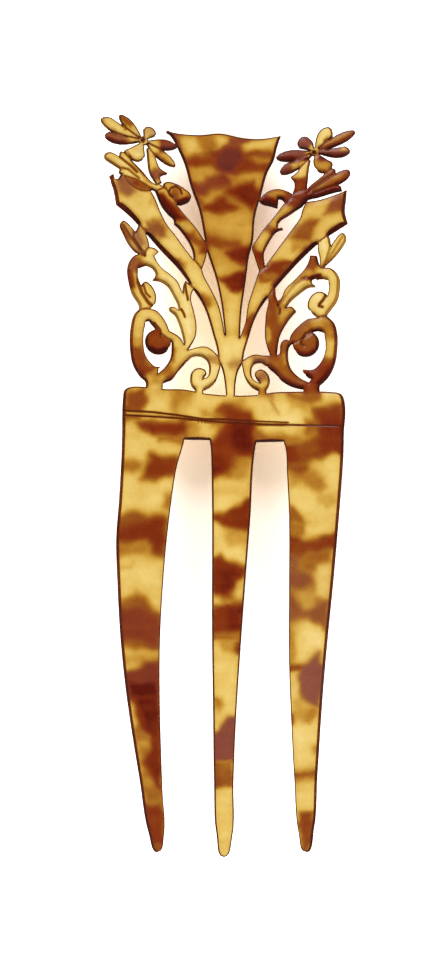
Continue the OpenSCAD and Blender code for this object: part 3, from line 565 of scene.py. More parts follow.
# Each blotch: tone, mauve, softness in millimetres, and outline. A later one covers an earlier one
BLOTCHES = [
    # fan
    (0.14, 0, 2.0, [(-2.4, 33), (3.6, 33), (2.6, 21), (-1, 21)]),
    (0.20, 0, 0.7, [(-9.5, 60.8), (-6, 60.8), (-5.6, 59), (-6, 57.2), (-8, 57), (-9, 58.5)]),
    (0.65, 0.3, 0.7, [(-12.6, 62), (-9.5, 61.3), (-9.3, 60.8), (-11, 60.4), (-10.4, 59), (-11.5, 59.2)]),
    (0.5, 0, 0.7, [(-6, 60.6), (-2.6, 60.6), (-2.2, 59), (-2.8, 57.6), (-4.6, 57.2), (-5.4, 58.5)]),
    (0.2, 0, 0.5, [(-2, 60.8), (-0.3, 60.5), (-0.3, 58.7), (-2, 58.4)]),
    (0.75, 0.3, 0.5, [(0.2, 60.8), (4.8, 60.2), (4.2, 59.4), (2.6, 58.9), (0.6, 58.9)]),
    (0.15, 0, 0.6, [(3.2, 59), (5, 59.9), (9.8, 59.9), (9.4, 58.6), (7, 57.8), (3.4, 57.6)]),
    (0.98, 0.25, 0.7, [(-2.9, 57.5), (-0.6, 58.6), (2.4, 58.6), (3, 57.4), (3.4, 56), (2.6, 54.6),
                       (1.4, 53.6), (-1, 53.2), (-2.2, 54.3), (-2.8, 55.5)]),
    (0.78, 0, 0.7, [(-8.4, 56.2), (-7, 56.7), (-4.2, 57.1), (-2.5, 57.5), (-2.5, 54.8), (-4.5, 55),
                    (-6.4, 54.6), (-8.2, 55.2)]),
    (0.7, 0, 0.6, [(2.8, 57.5), (5.5, 57.8), (8.6, 57.6), (9.2, 56.8), (7.5, 56.2), (5.5, 56.6),
                   (3.2, 56.2)]),
    (0.8, 0, 0.6, [(3, 56), (5, 55.9), (7.8, 55), (7.4, 53.7), (4, 53.2), (1.5, 53.2)]),
    (0.82, 0.15, 0.7, [(-7.2, 51.6), (-5, 51.7), (-4.2, 52.6), (-2.5, 52.9), (-0.8, 53), (0.2, 52),
                       (0.4, 50.8), (-1, 50.3), (-3.2, 49.8), (-4.8, 49), (-6.4, 49.4), (-7.2, 50.4)]),
    (0.9, 0, 0.7, [(0, 50.2), (2, 51), (5.3, 51.6), (5.8, 50.2), (6.6, 49.4), (6.4, 47.6), (5.2, 46.2),
                   (3, 47.6), (1.2, 48.6), (-0.6, 49.4)]),
    (0.85, 0, 0.6, [(-5, 46.8), (-3.2, 47.3), (-1.8, 48.4), (-0.8, 48.6), (0.6, 47.6), (2, 46.5),
                    (0.8, 45.9), (-0.8, 45.3), (-3, 45.5), (-5, 46)]),
    (0.6, 0, 0.5, [(-6.6, 48.8), (-5.2, 48.2), (-4.6, 47), (-6, 47)]),
    (0.42, 0, 0.4, [(1.8, 43), (3.2, 43.1), (3.2, 42.4), (2, 42.4)]),
    (0.68, 0, 0.7, [(-4.8, 40.8), (-3, 41), (-1.5, 40.6), (0.2, 40), (2.4, 39.8), (2, 39), (0, 38.6),
                    (-1.8, 38.4), (-3.4, 39), (-4.6, 39.6)]),
    (0.88, 0, 0.6, [(-0.4, 37.5), (1.2, 38.6), (2.6, 38.8), (5, 38.6), (4.6, 35.4), (2.6, 35.4),
                    (0.8, 36.2)]),
    (0.9, 0, 0.6, [(-1.8, 32.2), (-0.2, 32.9), (2, 33.6), (4, 34.4), (3.8, 30), (2, 29.6), (0.6, 29.8),
                   (-0.6, 30.8)]),
    (0.4, 0.5, 0.7, [(0.2, 15.4), (1.6, 16.4), (3, 16.2), (2.6, 14.6), (0.6, 14.2)]),
    (0.75, 0, 0.4, [(-5.8, 39.8), (-3.8, 39.6), (-4.2, 37), (-5.4, 37)]),
    # heading
    (0.34, 0, 0.6, [(-9, 3.6), (-6, 3.8), (-6, 0.6), (-9, 0.4)]),
    (0.25, 0, 0.6, [(-16, 10.4), (-12.4, 10.2), (-12.4, 8.4), (-16, 8.4)]),
    (0.6, 0, 0.4, [(-20.6, 6.6), (-17.6, 6.4), (-17.6, 4), (-20.6, 4)]),
    (0.72, 0, 0.7, [(-20.6, 8.8), (-19, 10), (-16.6, 10), (-16.2, 8), (-16.8, 6.4), (-17.4, 5.4),
                    (-20.4, 5.2)]),
    (0.41, 0, 0.8, [(-11.6, 9.4), (-9.6, 9.9), (-6.6, 9.8), (-7, 8.4), (-9, 7), (-10.6, 5.8), (-11.8, 7)]),
    (0.38, 0, 0.4, [(-5.6, 6), (-4.2, 6.2), (-3.6, 4.8), (-5.2, 4.4)]),
    (0.36, 0, 0.7, [(0, 8), (3.4, 8), (4.6, 6), (2, 5.6)]),
    (0.45, 0, 0.8, [(1, -3.2), (5, -3), (4.8, -6), (2.4, -8), (-0.6, -8), (-1, -5.6)]),
    (0.8, 0, 0.7, [(-2.6, 6), (-1, 7.2), (0.6, 7.4), (2.2, 6.4), (4.6, 5.2), (5.4, 3.6), (5.2, 1),
                   (5.2, -3),
                   (3, -3.2), (1.4, -4.4), (0, -6.4), (-3.4, -7.4), (-3.6, -1), (-2.2, 1), (-1.8, 3)]),
    (0.95, 0, 0.6, [(0.5, 3.5), (5, 3.8), (5.2, -2.8), (2.6, -3), (0.8, -1.5), (1, 1)]),
    (0.95, 0, 0.6, [(-3.4, -3.5), (-1.6, -3), (-0.4, -5), (-1.2, -6.6), (-3.4, -7.2)]),
    (0.52, 0, 0.6, [(-3.4, 5.2), (-1.4, 5.6), (-0.5, 4.4), (-1.2, 3), (-3.2, 3)]),
    (0.42, 0, 0.4, [(5.8, 10.2), (8.2, 10.2), (8.4, 8.8), (6, 8.8)]),
    (0.34, 0, 0.6, [(12.6, 8.2), (15.6, 7.8), (15.6, 5.8), (12.6, 6)]),
    (0.22, 0, 0.6, [(-2.6, -8.8), (4.8, -8.4), (4.8, -11), (-2.6, -11.4)]),
    (0.62, 0, 0.6, [(11, 9.6), (15, 9.4), (18.6, 9.4), (18.6, 8.4), (16.8, 7), (14.6, 7.6), (12.6, 8.6)]),
    (0.72, 0, 0.7, [(16.8, 6.2), (19, 6.9), (23.2, 7.4), (23.4, -3.4), (21.8, -2.2), (20.4, -2.6),
                    (18.2, -4), (15.4, -4.8), (12, -4.8), (12, -2), (13.6, -0.6), (15.4, 0), (17.4, 1.4),
                    (17.8, 3.4)]),
    (0.85, 0, 0.7, [(17.6, 4.5), (22, 4.5), (23.2, 2), (22.8, -2.6), (20.6, -2), (18.6, -2.4), (17.8, 0)]),
    (0.6, 0, 0.6, [(5.2, 2.2), (7, 1.6), (12, 0.8), (14.4, 0.2), (12, -0.4), (5.4, 0)]),
    (0.85, 0, 0.6, [(10.8, -0.8), (13.6, -1), (14, -4.4), (11.2, -4.8)]),
    (0.75, 0, 0.4, [(13.6, 10.8), (18.4, 10.8), (18.4, 9), (15, 9.2)]),
    (0.35, 0.35, 0.3, [(8.2, 9.4), (8.9, 9.2), (9.4, 6.6), (10.1, 5.2), (9, 6)]),
    (0.82, 0, 0.7, [(-18.4, 3.4), (-16.6, 3.6), (-12, 3.6), (-8.6, 3.9), (-7.8, 2.6), (-8.6, 0.8),
                    (-11, 0.6), (-13.4, 1.2), (-15.4, 1.6), (-17.2, 2.4)]),
    (0.32, 0, 0.3, [(-20.4, 5.7), (-15, 5.4), (-8, 4.8), (-8, 4.3), (-15, 4.8), (-20.4, 5.0)]),
    (0.5, 0, 0.6, [(-14, 0.9), (-9, 0.8), (-9.2, -0.6), (-14, -0.4)]),
    (0.82, 0, 0.7, [(-15.6, -2.4), (-13, -3), (-10.6, -3.4), (-9.8, -4.4), (-10.4, -7), (-14, -8.2),
                    (-17.2, -7.6), (-16.2, -5)]),
    (0.45, 0, 0.6, [(-21.6, -4.4), (-19, -3.8), (-16.8, -4.4), (-17.4, -5.8), (-19, -6.6), (-21.8, -6)]),
    (0.5, 0, 0.6, [(-12.8, -11), (-11, -11), (-11.6, -14), (-13, -13.6)]),
    (0.55, 0, 0.6, [(15.6, 4), (18, 4), (18, 1), (15, 0.6)]),
    (0.5, 0, 0.6, [(11, 1), (14.6, 1), (14.4, -0.8), (11.4, -0.6)]),
    # left prong
    (0.58, 0, 0.8, [(-22.4, -15.6), (-20, -14.4), (-18.6, -14.1), (-15.6, -15), (-13, -14.8),
                    (-11.8, -16.4), (-12.6, -20), (-13.2, -23.8), (-14.4, -23.6), (-15.4, -22.6),
                    (-16.2, -20.4), (-18.6, -20.6), (-20.4, -22), (-22.6, -23.4)]),
    (0.85, 0, 0.9, [(-22.4, -18.4), (-20, -17.6), (-17, -17), (-14.6, -15.4), (-12.6, -16),
                    (-12.6, -19.8), (-13.4, -22.6), (-15.4, -22.4), (-16, -20.4), (-18.6, -20),
                    (-22.4, -20.2)]),
    (0.46, 0, 0.7, [(-22.4, -20.4), (-16, -20.4), (-15.6, -23.2), (-19, -23), (-22.6, -24)]),
    (0.28, 0, 0.5, [(-22.2, -25.8), (-20.2, -25.2), (-19, -24.2), (-19.4, -25.2), (-20.6, -26)]),
    (0.13, 0, 0.5, [(-22.4, -27.2), (-16, -26.8), (-15, -29), (-22, -30)]),
    (0.6, 0, 0.8, [(-22.4, -32.6), (-20.4, -31.6), (-18.2, -30.6), (-16.6, -31.4), (-15.2, -33),
                   (-14.4, -34.6), (-13.6, -35.2), (-13.6, -42.4), (-16, -42), (-18.6, -42),
                   (-20.4, -41.4), (-21.8, -40.6)]),
    (0.8, 0.15, 0.8, [(-22, -34.4), (-18, -33), (-14.4, -35), (-13.6, -36), (-13.6, -42), (-15.6, -41),
                      (-17, -39.6), (-21.6, -39.4)]),
    (0.3, 0, 0.8, [(-21.6, -42.5), (-13.4, -42.5), (-13.4, -45), (-21.4, -45)]),
    (0.85, 0.2, 0.7, [(-20.6, -47), (-18.6, -46), (-16, -44.6), (-13.6, -44.6), (-13.6, -50),
                      (-14.4, -52), (-19.6, -51.6), (-20.6, -49)]),
    (1.0, 0, 0.6, [(-20, -48.6), (-14, -48.6), (-14.4, -51.6), (-19.4, -51.4)]),
    (0.78, 0, 0.6, [(-18.8, -52), (-14, -52), (-14, -58.8), (-17.4, -58.6), (-18.2, -56)]),
    (0.45, 0, 0.8, [(-18, -61), (-15.6, -61), (-15.6, -69), (-17.6, -69)]),
    (0.95, 0, 0.5, [(-18.6, -51.4), (-14.6, -51.4), (-13.6, -54), (-13.4, -59.6), (-15.2, -59.6),
                    (-16.6, -58.4), (-16.4, -56), (-17.6, -53.8)]),
    (0.85, 0, 0.6, [(-15.4, -59), (-13.4, -59.5), (-13.2, -69.8), (-14.6, -69.4), (-15.2, -67.4),
                    (-16, -66.4), (-17, -64.6), (-16.4, -63), (-15.2, -61.6)]),
    (0.5, 0, 0.6, [(-18.4, -57.6), (-15.6, -59), (-15.4, -60.4), (-18.6, -60.6)]),
    (0.56, 0, 0.8, [(-17.2, -69.4), (-12.8, -69.4), (-12.8, -73), (-16.6, -73)]),
    (0.8, 0, 0.6, [(-16.8, -73.2), (-13, -72.8), (-12.6, -81), (-16, -81)]),
    (0.62, 0, 0.6, [(-16, -80.8), (-12.6, -80.8), (-12.6, -84), (-16, -84)]),
    # centre prong
    (0.34, 0, 0.8, [(-1, -17.6), (4.6, -17.6), (4.4, -21.4), (0, -21.2)]),
    (0.85, 0, 0.6, [(-3.2, -15), (-1, -14.6), (1.6, -13.4), (3.4, -12), (4.8, -11.7), (4.6, -17.4),
                    (3.6, -18), (0.4, -17.8), (-1, -17), (-3.2, -16)]),
    (0.5, 0, 0.6, [(-1.4, -30.6), (1.4, -30.4), (1.4, -32.4), (-1.4, -32.6)]),
    (0.85, 0, 0.6, [(-3.2, -23.6), (-1.6, -22.8), (-0.8, -23.8), (1.4, -24.6), (4, -25.6), (3.2, -27),
                    (2, -28.2), (1, -30), (0.2, -31), (-1.4, -31), (-2, -31.4), (-3.2, -30.6)]),
    (0.92, 0, 0.6, [(-1.4, -26), (2.6, -26), (0.6, -29.6), (-1, -30)]),
    (0.8, 0, 0.6, [(-3.2, -33.4), (0, -33.2), (3.2, -32.4), (2.8, -38.4), (0, -38.6), (-3.2, -38.6)]),
    (0.92, 0, 0.6, [(-0.2, -33.6), (3, -33.4), (2.6, -38.2), (0, -38)]),
    (0.55, 0, 0.4, [(-3.2, -38.6), (2.8, -38.6), (2.6, -40), (-3.2, -40)]),
    (0.38, 0, 0.6, [(-1.6, -40), (1.6, -40), (1.6, -42.6), (-1, -42.4)]),
    (0.75, 0, 0.4, [(1.4, -40.6), (2.6, -40), (2.6, -43.4), (1.6, -43), (1, -42)]),
    (0.12, 0, 0.5, [(-3, -43.6), (0.6, -43.6), (0.6, -50.4), (-2.8, -50.4)]),
    (0.45, 0, 0.5, [(-2.6, -51.6), (-1.4, -51.6), (-1, -53), (-1.8, -54.2), (-2.6, -53.4)]),
    (0.8, 0.6, 0.5, [(-0.2, -55.6), (1.6, -55.4), (1.3, -64), (-3, -64), (-3, -59.6), (-1.6, -58.2),
                     (-0.8, -56.6)]),
    (0.62, 0, 0.4, [(-3, -64.2), (1.2, -64.2), (1, -69.2), (-1, -69.6), (-3, -70)]),
    # right prong
    (0.44, 0, 0.9, [(12, -5), (16, -5), (16, -8), (12.6, -9)]),
    (0.44, 0.15, 1.0, [(12.2, -23), (20.4, -22), (20, -33), (12.2, -38)]),
    (0.7, 0, 0.6, [(12, -5), (14, -4.6), (15.6, -5), (15.6, -6.2), (14.6, -6.8), (13, -5.8)]),
    (0.42, 0, 0.6, [(15.2, -6.2), (17, -6), (19.6, -7.6), (19.6, -9.6), (18.4, -10.4), (16.6, -9.6),
                    (15, -8)]),
    (0.4, 0, 0.5, [(18.4, -11.4), (20.6, -11.4), (21.4, -12.4), (20, -13.4), (18.2, -12.6)]),
    (0.6, 0, 0.5, [(12, -13.4), (13.4, -13.8), (15, -15.2), (15.4, -16.4), (13.6, -16.6), (12, -16.4)]),
    (0.5, 0, 0.5, [(12, -16.6), (15.4, -16.6), (15.2, -18.6), (14.2, -19.6), (12, -18.6)]),
    (0.78, 0, 0.6, [(12, -19), (13.6, -19.4), (15.2, -20), (18, -19.8), (20.4, -19), (22, -18.4),
                    (21.6, -21.6), (19, -22), (16.4, -22.6), (14, -23.6), (12, -23)]),
    (0.65, 0.3, 0.6, [(12, -23), (14.4, -23.4), (14.2, -25.4), (16.4, -26.6), (17, -28.6), (15, -29.6),
                      (12.2, -29.2)]),
    (0.6, 0, 0.6, [(14.4, -23), (20.4, -22.4), (20, -24), (17, -26), (14.6, -25)]),
    (0.16, 0.1, 0.6, [(17.6, -25.4), (20.6, -24.6), (20.2, -32), (17.4, -31)]),
    (0.16, 0, 0.5, [(20, -15), (22.4, -15), (22, -17.6), (20, -17.8)]),
    (0.68, 0.25, 0.6, [(12.2, -30.4), (13.4, -32), (15, -34), (16.6, -33.8), (18.4, -32.6), (20, -32.2),
                       (19.8, -38.4), (18.4, -37.4), (16, -35.4), (14.2, -35.4), (12.4, -36)]),
    (0.36, 0.1, 0.5, [(13.6, -30), (17, -30), (17, -33), (15.4, -33.8), (13.8, -32)]),
    (0.4, 0, 0.6, [(12.2, -38), (13.4, -38.6), (13.6, -42), (13.4, -45.4), (12.2, -45.6)]),
    (0.7, 0, 0.3, [(12.2, -45.4), (15, -45), (15, -46), (13.6, -46.4), (12.2, -46.6)]),
    (0.72, 0.75, 0.6, [(15.2, -45), (16.6, -43.6), (18.2, -42.4), (18.4, -44.6), (19.4, -46),
                       (18.8, -50), (18, -53.2), (16.4, -53), (15.2, -52), (14.2, -50), (14.4, -47.4)]),
    (0.45, 0, 0.5, [(14.8, -54), (17.6, -53.4), (18, -55.4), (16.6, -57), (15, -56.4)]),
    (0.34, 0, 0.6, [(13, -51.8), (15.4, -52), (15.4, -56), (13.2, -56)]),
    (0.8, 0, 0.3, [(12.6, -55), (13, -54.6), (13, -56.6), (12.6, -57)]),
    (0.32, 0, 0.6, [(17.8, -11), (20.6, -11), (20.6, -13), (17.8, -13)]),
    (0.35, 0, 0.5, [(16.8, -61.2), (18, -61.2), (18, -62.8), (16.8, -62.8)]),
    (0.42, 0, 0.6, [(13, -65.6), (17.6, -65.8), (17.6, -68), (13.2, -68.4)]),
    (0.6, 0, 0.3, [(13, -66.3), (15, -66.6), (17.6, -66.2), (17.6, -67), (15, -67.3), (13.1, -67.2)]),
    (0.75, 0, 0.6, [(14.6, -74.6), (17.2, -74.4), (17, -80), (15.6, -83), (14.2, -80), (14.4, -77)]),
    # left side of the crest
    (0.66, 0, 0.4, [(-11.3, 50.2), (-10.5, 50.5), (-9.6, 50), (-9.5, 49.2), (-10.2, 48.6), (-11.2, 48.9)]),
    (0.62, 0.5, 0.6, [(-22.2, 53.2), (-20.8, 52.8), (-20, 51.8), (-18.4, 49.8), (-18.6, 49.4),
                      (-20, 49), (-21.6, 49.6), (-22, 51.2)]),
    (0.62, 0.25, 0.5, [(-16.4, 43.4), (-14.8, 44.2), (-13.6, 43.6), (-12.4, 42.2), (-12.2, 40.8),
                       (-13.2, 40.4), (-14.8, 41.2), (-16.2, 42.2)]),
    (0.45, 0, 0.5, [(-10.8, 36), (-9.4, 36.2), (-8, 35), (-8.4, 34.2), (-9.6, 34.6)]),
    (0.5, 0, 0.5, [(-6, 29.2), (-4.8, 29.6), (-3.6, 28.8), (-3.2, 27.2), (-3.8, 26.4), (-5, 26.8),
                   (-6, 28)]),
    (0.3, 0, 0.3, [(-15.5, 47.9), (-14.9, 47.9), (-14.9, 47.3), (-15.5, 47.3)]),
    (0.95, 0, 0.5, [(-14.4, 49), (-13.2, 49), (-10.8, 47), (-8.4, 44.4), (-9.8, 43.8), (-11.6, 45),
                    (-13.6, 47.4)]),
    (0.68, 0, 0.4, [(-8.4, 41.6), (-6.8, 41.6), (-5.8, 40.4), (-5, 39), (-5.4, 38.4), (-6.8, 39.2),
                    (-8, 40.4)]),
    (0.1, 0, 0.2, [(-9.9, 43.1), (-9.3, 43.1), (-9.3, 42.5), (-9.9, 42.5)]),
    (0.32, 0, 0.3, [(-19.4, 56.2), (-17.4, 54.1), (-14.6, 51.2), (-15.2, 51), (-17.8, 53.6),
                    (-19.6, 55.4)]),
    (0.62, 0.35, 0.4, [(-14.8, 54.4), (-13.6, 54.4), (-12.2, 53.2), (-13.6, 52.4), (-14, 52),
                       (-15.4, 52.4), (-15.8, 53.6)]),
    (0.9, 0, 0.4, [(-10.6, 48.2), (-9, 48.4), (-7.8, 48.6), (-7.6, 47.8), (-8.6, 46.8), (-10, 46.9)]),
    (0.3, 0.3, 0.5, [(-26, 65.2), (-24.6, 64.9), (-24.6, 63.4), (-25.6, 62.8)]),
    (0.62, 0, 0.4, [(-21.8, 65), (-20.8, 65), (-19.2, 63.3), (-19.6, 62.5), (-21.4, 64)]),
    (0.8, 0.3, 0.5, [(-13.6, 60.2), (-10.1, 59.8), (-9.6, 58), (-10.4, 57.4), (-13.6, 57.8)]),
    (0.45, 0, 0.5, [(-14.4, 57.8), (-12.4, 56.6), (-12, 55.4), (-13.4, 56), (-14.8, 57.2)]),
    (1.0, 0, 0.4, [(-25, 60.6), (-22.6, 60), (-20.8, 59.8), (-20.6, 58.6), (-21.6, 58.4), (-25, 59.4)]),
    (0.62, 0.6, 0.4, [(-24.8, 61.6), (-22.6, 61.4), (-20.8, 60.8), (-20.6, 60), (-22.6, 60.2),
                      (-25, 60.8)]),
    (0.08, 0.22, 0.4, [(-19.6, 61.2), (-17.4, 61.8), (-15.4, 60.8), (-14.8, 59.4), (-15.6, 57.8),
                      (-18.4, 57.6), (-19.8, 59.2)]),
    (0.55, 0, 0.5, [(-23.4, 43.4), (-21.6, 43.6), (-19.2, 40.4), (-19.6, 39.6), (-22.4, 41.6)]),
    (0.5, 0.6, 0.4, [(-19, 42.4), (-17.9, 42.2), (-16.8, 39.4), (-17.6, 38.4), (-19, 40.6)]),
    # left scrolls
    (0.6, 0.2, 0.5, [(-19.8, 36.8), (-17.4, 36.8), (-17.4, 33.6), (-19.6, 33.6)]),
    (0.65, 0, 0.3, [(-20, 34), (-19, 34), (-18.8, 30.4), (-19.8, 30.4)]),
    (0.35, 0, 0.4, [(-15.2, 33), (-14, 33), (-13.8, 31.6), (-15.2, 31.6)]),
    (0.75, 0, 0.7, [(-19.4, 19), (-17, 19), (-16.4, 16), (-14.6, 14.6), (-15.6, 13.4), (-17, 12.6),
                    (-18.6, 14.6)]),
    (0.32, 0, 0.5, [(-19.6, 20.4), (-17, 20.4), (-16.9, 19), (-19.6, 19)]),
    (0.42, 0, 0.5, [(-15.4, 13.4), (-13.4, 13.4), (-13.4, 11), (-15.4, 11)]),
    (0.5, 0, 0.5, [(-13, 14.4), (-11.6, 15), (-10.8, 13.2), (-12, 12), (-13.6, 12.8)]),
    (0.48, 0, 0.4, [(-11.6, 18.6), (-10.6, 18.4), (-10.4, 15.6), (-11.8, 15.4)]),
    (0.35, 0.4, 0.4, [(-3.8, 17), (-2, 17), (-1.8, 15.4), (-3.6, 15.6)]),
    # right side of the crest
    (0.65, 0.15, 0.5, [(19.4, 45.4), (21, 48.4), (22.2, 49.4), (23.2, 48.2), (23, 46.2), (21.6, 45.8)]),
    (0.42, 0, 0.5, [(13, 40), (16, 40), (15.6, 37.8), (13, 37.6)]),
    (0.65, 0, 0.6, [(12.6, 40.4), (13.8, 42.4), (15.4, 43.8), (18.2, 44.2), (17.2, 42.4), (16.6, 39.8),
                    (14.8, 39.8), (13.2, 40.2)]),
    (0.85, 0, 0.5, [(8.8, 35.6), (11.8, 36), (12.4, 35.6), (10.6, 33), (8, 32), (6.6, 32), (6.4, 33.6),
                    (7.4, 34.6)]),
    (0.5, 0, 0.4, [(6.8, 34), (9, 33.6), (8.6, 32.2), (6.8, 32)]),
    (0.72, 0, 0.5, [(3.4, 24), (5, 25.2), (5.8, 25.2), (5.2, 23), (4.4, 20.8), (3.2, 20.8)]),
    (0.85, 0.1, 0.6, [(11.2, 48.6), (13, 52), (15.6, 52.4), (16.4, 50), (15.6, 47.4), (13.6, 46.6),
                      (11.4, 47.4)]),
    (0.62, 0, 0.4, [(7.2, 42.8), (8.6, 43), (11, 42.4), (10.6, 41.8), (8.4, 41.4), (7, 41.8)]),
    (0.85, 0, 0.4, [(5.2, 38), (7.2, 37.6), (7, 34.8), (6, 34)]),
    (0.5, 0, 0.4, [(20.6, 53.6), (24, 53), (24, 52), (20.8, 51.6)]),
    (0.85, 0, 0.3, [(17, 49.8), (20, 50.6), (24, 51.2), (24, 50.2), (20, 49.4), (17, 49)]),
    (0.95, 0, 0.4, [(7, 49), (8.6, 48.6), (10, 48), (10, 46.2), (8.4, 46.6), (6.8, 47.4)]),
    (0.75, 0, 0.4, [(13, 51.4), (15.8, 51.6), (15.8, 50), (13, 49)]),
    (0.45, 0, 0.4, [(19.5, 60), (24.6, 61.8), (24.6, 61), (19.5, 58.9)]),
    (0.14, 0.15, 0.4, [(16.2, 58.4), (17.4, 59.8), (18.4, 58.8), (17.4, 57.4), (17, 55.4), (14.8, 55.6),
                       (15, 56.8)]),
    (0.15, 0.2, 0.4, [(22.6, 58.9), (24.6, 58.9), (24.6, 57.9), (22.6, 57.9)]),
    (1.0, 0, 0.3, [(18, 56.8), (24.4, 57.2), (24.4, 56.4), (21, 55.8), (18, 56)]),
    (0.8, 0.3, 0.5, [(10.2, 54.8), (12.6, 55.2), (12.8, 53.4), (11, 52.4), (10, 53)]),
    (1.0, 0, 0.3, [(9, 56.2), (13, 56.6), (16, 56.9), (16, 56.2), (13, 55.6), (9, 55.4)]),
    # right scrolls
    (0.72, 0, 0.6, [(8.6, 30), (10, 29), (10.2, 25.6), (10.4, 16.4), (7.8, 16.4), (7.8, 22), (8.2, 27)]),
    (0.35, 0, 0.3, [(7.4, 22.8), (8.2, 23), (8.6, 20.6), (8, 18.8), (7.4, 19.8)]),
    (0.5, 0, 0.4, [(8.6, 33.6), (10.4, 33.4), (10.2, 30.4), (8.8, 30.6)]),
    (0.28, 0, 0.6, [(11, 33), (15, 36.6), (17.8, 37), (18.2, 34), (15, 32.6), (12, 30)]),
    (0.12, 0, 0.4, [(11, 29.8), (14.4, 32), (17.6, 32.2), (18, 30.4), (14, 28.6), (12.4, 26.6),
                    (11, 27.4)]),
    (0.14, 0, 0.5, [(17, 35.4), (20, 35.4), (20, 33), (18, 33.2)]),
    (0.65, 0, 0.4, [(15.8, 37), (17.6, 37), (18.2, 35), (17, 33.6), (15, 34.4)]),
    (0.95, 0, 0.25, [(15, 32.4), (18.2, 33), (18.4, 32.4), (16, 32)]),
    (0.35, 0, 0.5, [(10.8, 26), (13.4, 26), (13, 23.6), (11, 23.8)]),
    (0.35, 0, 0.5, [(16.6, 24.8), (20.6, 24), (20, 22.4), (17, 22)]),
    (0.5, 0, 0.4, [(19.2, 23), (21.4, 22.6), (21.6, 20), (19.4, 20)]),
    (0.18, 0, 0.5, [(19.6, 20.2), (21.8, 20.2), (21.4, 16.2), (19.2, 16.4)]),
    (0.8, 0, 0.7, [(15, 15.4), (17.4, 14.4), (21, 16), (20.6, 12.6), (18.4, 10.8), (15, 11)]),
    (0.62, 0, 0.6, [(10, 17), (12, 18.4), (13, 14), (15, 12.8), (14.4, 10.6), (11, 11.6), (9.4, 14)]),
    (0.4, 0, 0.3, [(11, 17.4), (11.8, 17.4), (11.8, 15), (11, 15)]),
    (0.6, 0.2, 0.3, [(13.4, 12.4), (15.4, 12.2), (15.4, 11.2), (13.4, 11.4)]),
    (0.45, 0.6, 0.4, [(4.8, 17), (7.8, 16.9), (7.6, 15.5), (5, 15.4)]),
    (0.45, 0.5, 0.4, [(5.6, 13.6), (7.8, 13.4), (7.8, 12), (5.8, 12)]),
]


def inside_distance(points, outline):
    """Signed distance of points to a closed outline: less than zero inside."""
    closed = np.array(outline + outline[:1], float)
    inside = np.zeros(len(points), bool)
    for a, b in zip(closed[:-1], closed[1:]):
        crosses = (a[1] > points[:, 1]) != (b[1] > points[:, 1])
        if a[1] != b[1]:
            at = a[0] + (points[:, 1] - a[1]) * (b[0] - a[0]) / (b[1] - a[1])
            inside ^= crosses & (points[:, 0] < at)
    distance = path_distance(points, closed)
    return np.where(inside, -distance, distance)


def waver(scale, seed):
    """Smooth noise over the comb, from -1 to 1."""
    return np.array([noise.noise(Vector((p[0] / scale, p[1] / scale, seed))) for p in seen])


BLUR = 1.45     # how far a blotch fades to each side, for a softness of 1 mm
HAZE = 3.6      # how far its faint haze reaches
MOST_TONE = 1.05
tone = smoothed(by_node(BASE_TONE, 0.15), 3)
mauve = smoothed(by_node(BASE_MAUVE, 0.0), 3)
warped = seen + 0.55 * np.stack([waver(2.3, 3.1), waver(2.3, 8.7)], 1)
warped += 0.10 * np.stack([waver(0.8, 5.3), waver(0.8, 1.9)], 1)
for value, tint, softness, outline in BLOTCHES:
    spread, haze = BLUR * softness, HAZE * softness
    near = (warped > np.min(outline, 0) - haze) & (warped < np.max(outline, 0) + haze)
    at = np.flatnonzero(near.all(1))
    distance = inside_distance(warped[at], outline)
    cover = 0.8 * (1 - step(-spread, spread, distance)) + 0.2 * (1 - step(-spread, haze, distance))
    tone[at] += (value - tone[at]) * cover
    mauve[at] += (tint - mauve[at]) * cover
cloud = waver(4.5, 12.5)
grain = waver(1.1, 20.5)
bands = np.array([noise.noise(Vector((p[0] / 7.0, p[1] / 1.6, 31.0))) for p in seen])
tone = tone + 0.07 * cloud + 0.02 * grain + 0.05 * bands
# The scored patch: slanting lines with a pitch of 0.62 mm, which fade at its ends
scored = (seen[:, 0] > SCORED[0]) & (seen[:, 0] < SCORED[1])
fade = step(SCORED[2], SCORED[2] + 1, seen[:, 1]) * (1 - step(SCORED[3] - 1, SCORED[3], seen[:, 1]))
scores = np.maximum(0, np.sin(seen[:, 1] * 2 * math.pi / 0.62 + 0.9 * seen[:, 0])) ** 2
tone = np.clip(tone + 0.10 * scored * fade * scores, 0.0, MOST_TONE)

# ---- one closed mesh of front, walls and back ----
# Painted shade: how much darker than the face a node's walls are where they face down or sideways
WALL_PAINTED_SHADE = {"plume": 0.62, "centre_fan": 0.60, "left_stem": 0.5, "right_stem": 0.35, "_curl": 0.5,
             "lower_ring": 0.35, "ring_disc": 0.45, "crest_neck": 0.3, "_prong": 0.6, "heading": 0.6,
             "acanthus": 0.08, "upper_scroll": 0.12, "base_scroll": 0.12, "_sprig": 0.15}
wall_painted_shade = by_node(WALL_PAINTED_SHADE, 0.22)
low_wall = step(0.1, 0.8, downward)
side_wall = step(0.4, 0.95, np.abs(facing[:, 0]))
# Painted shade on every wall, more on walls that face down or sideways
wall_shade_tone = (0.08 + wall_painted_shade * np.maximum(low_wall, 0.8 * side_wall)) * on_rim
middle_edge_shade = 0.10 + 0.45 * wall_painted_shade
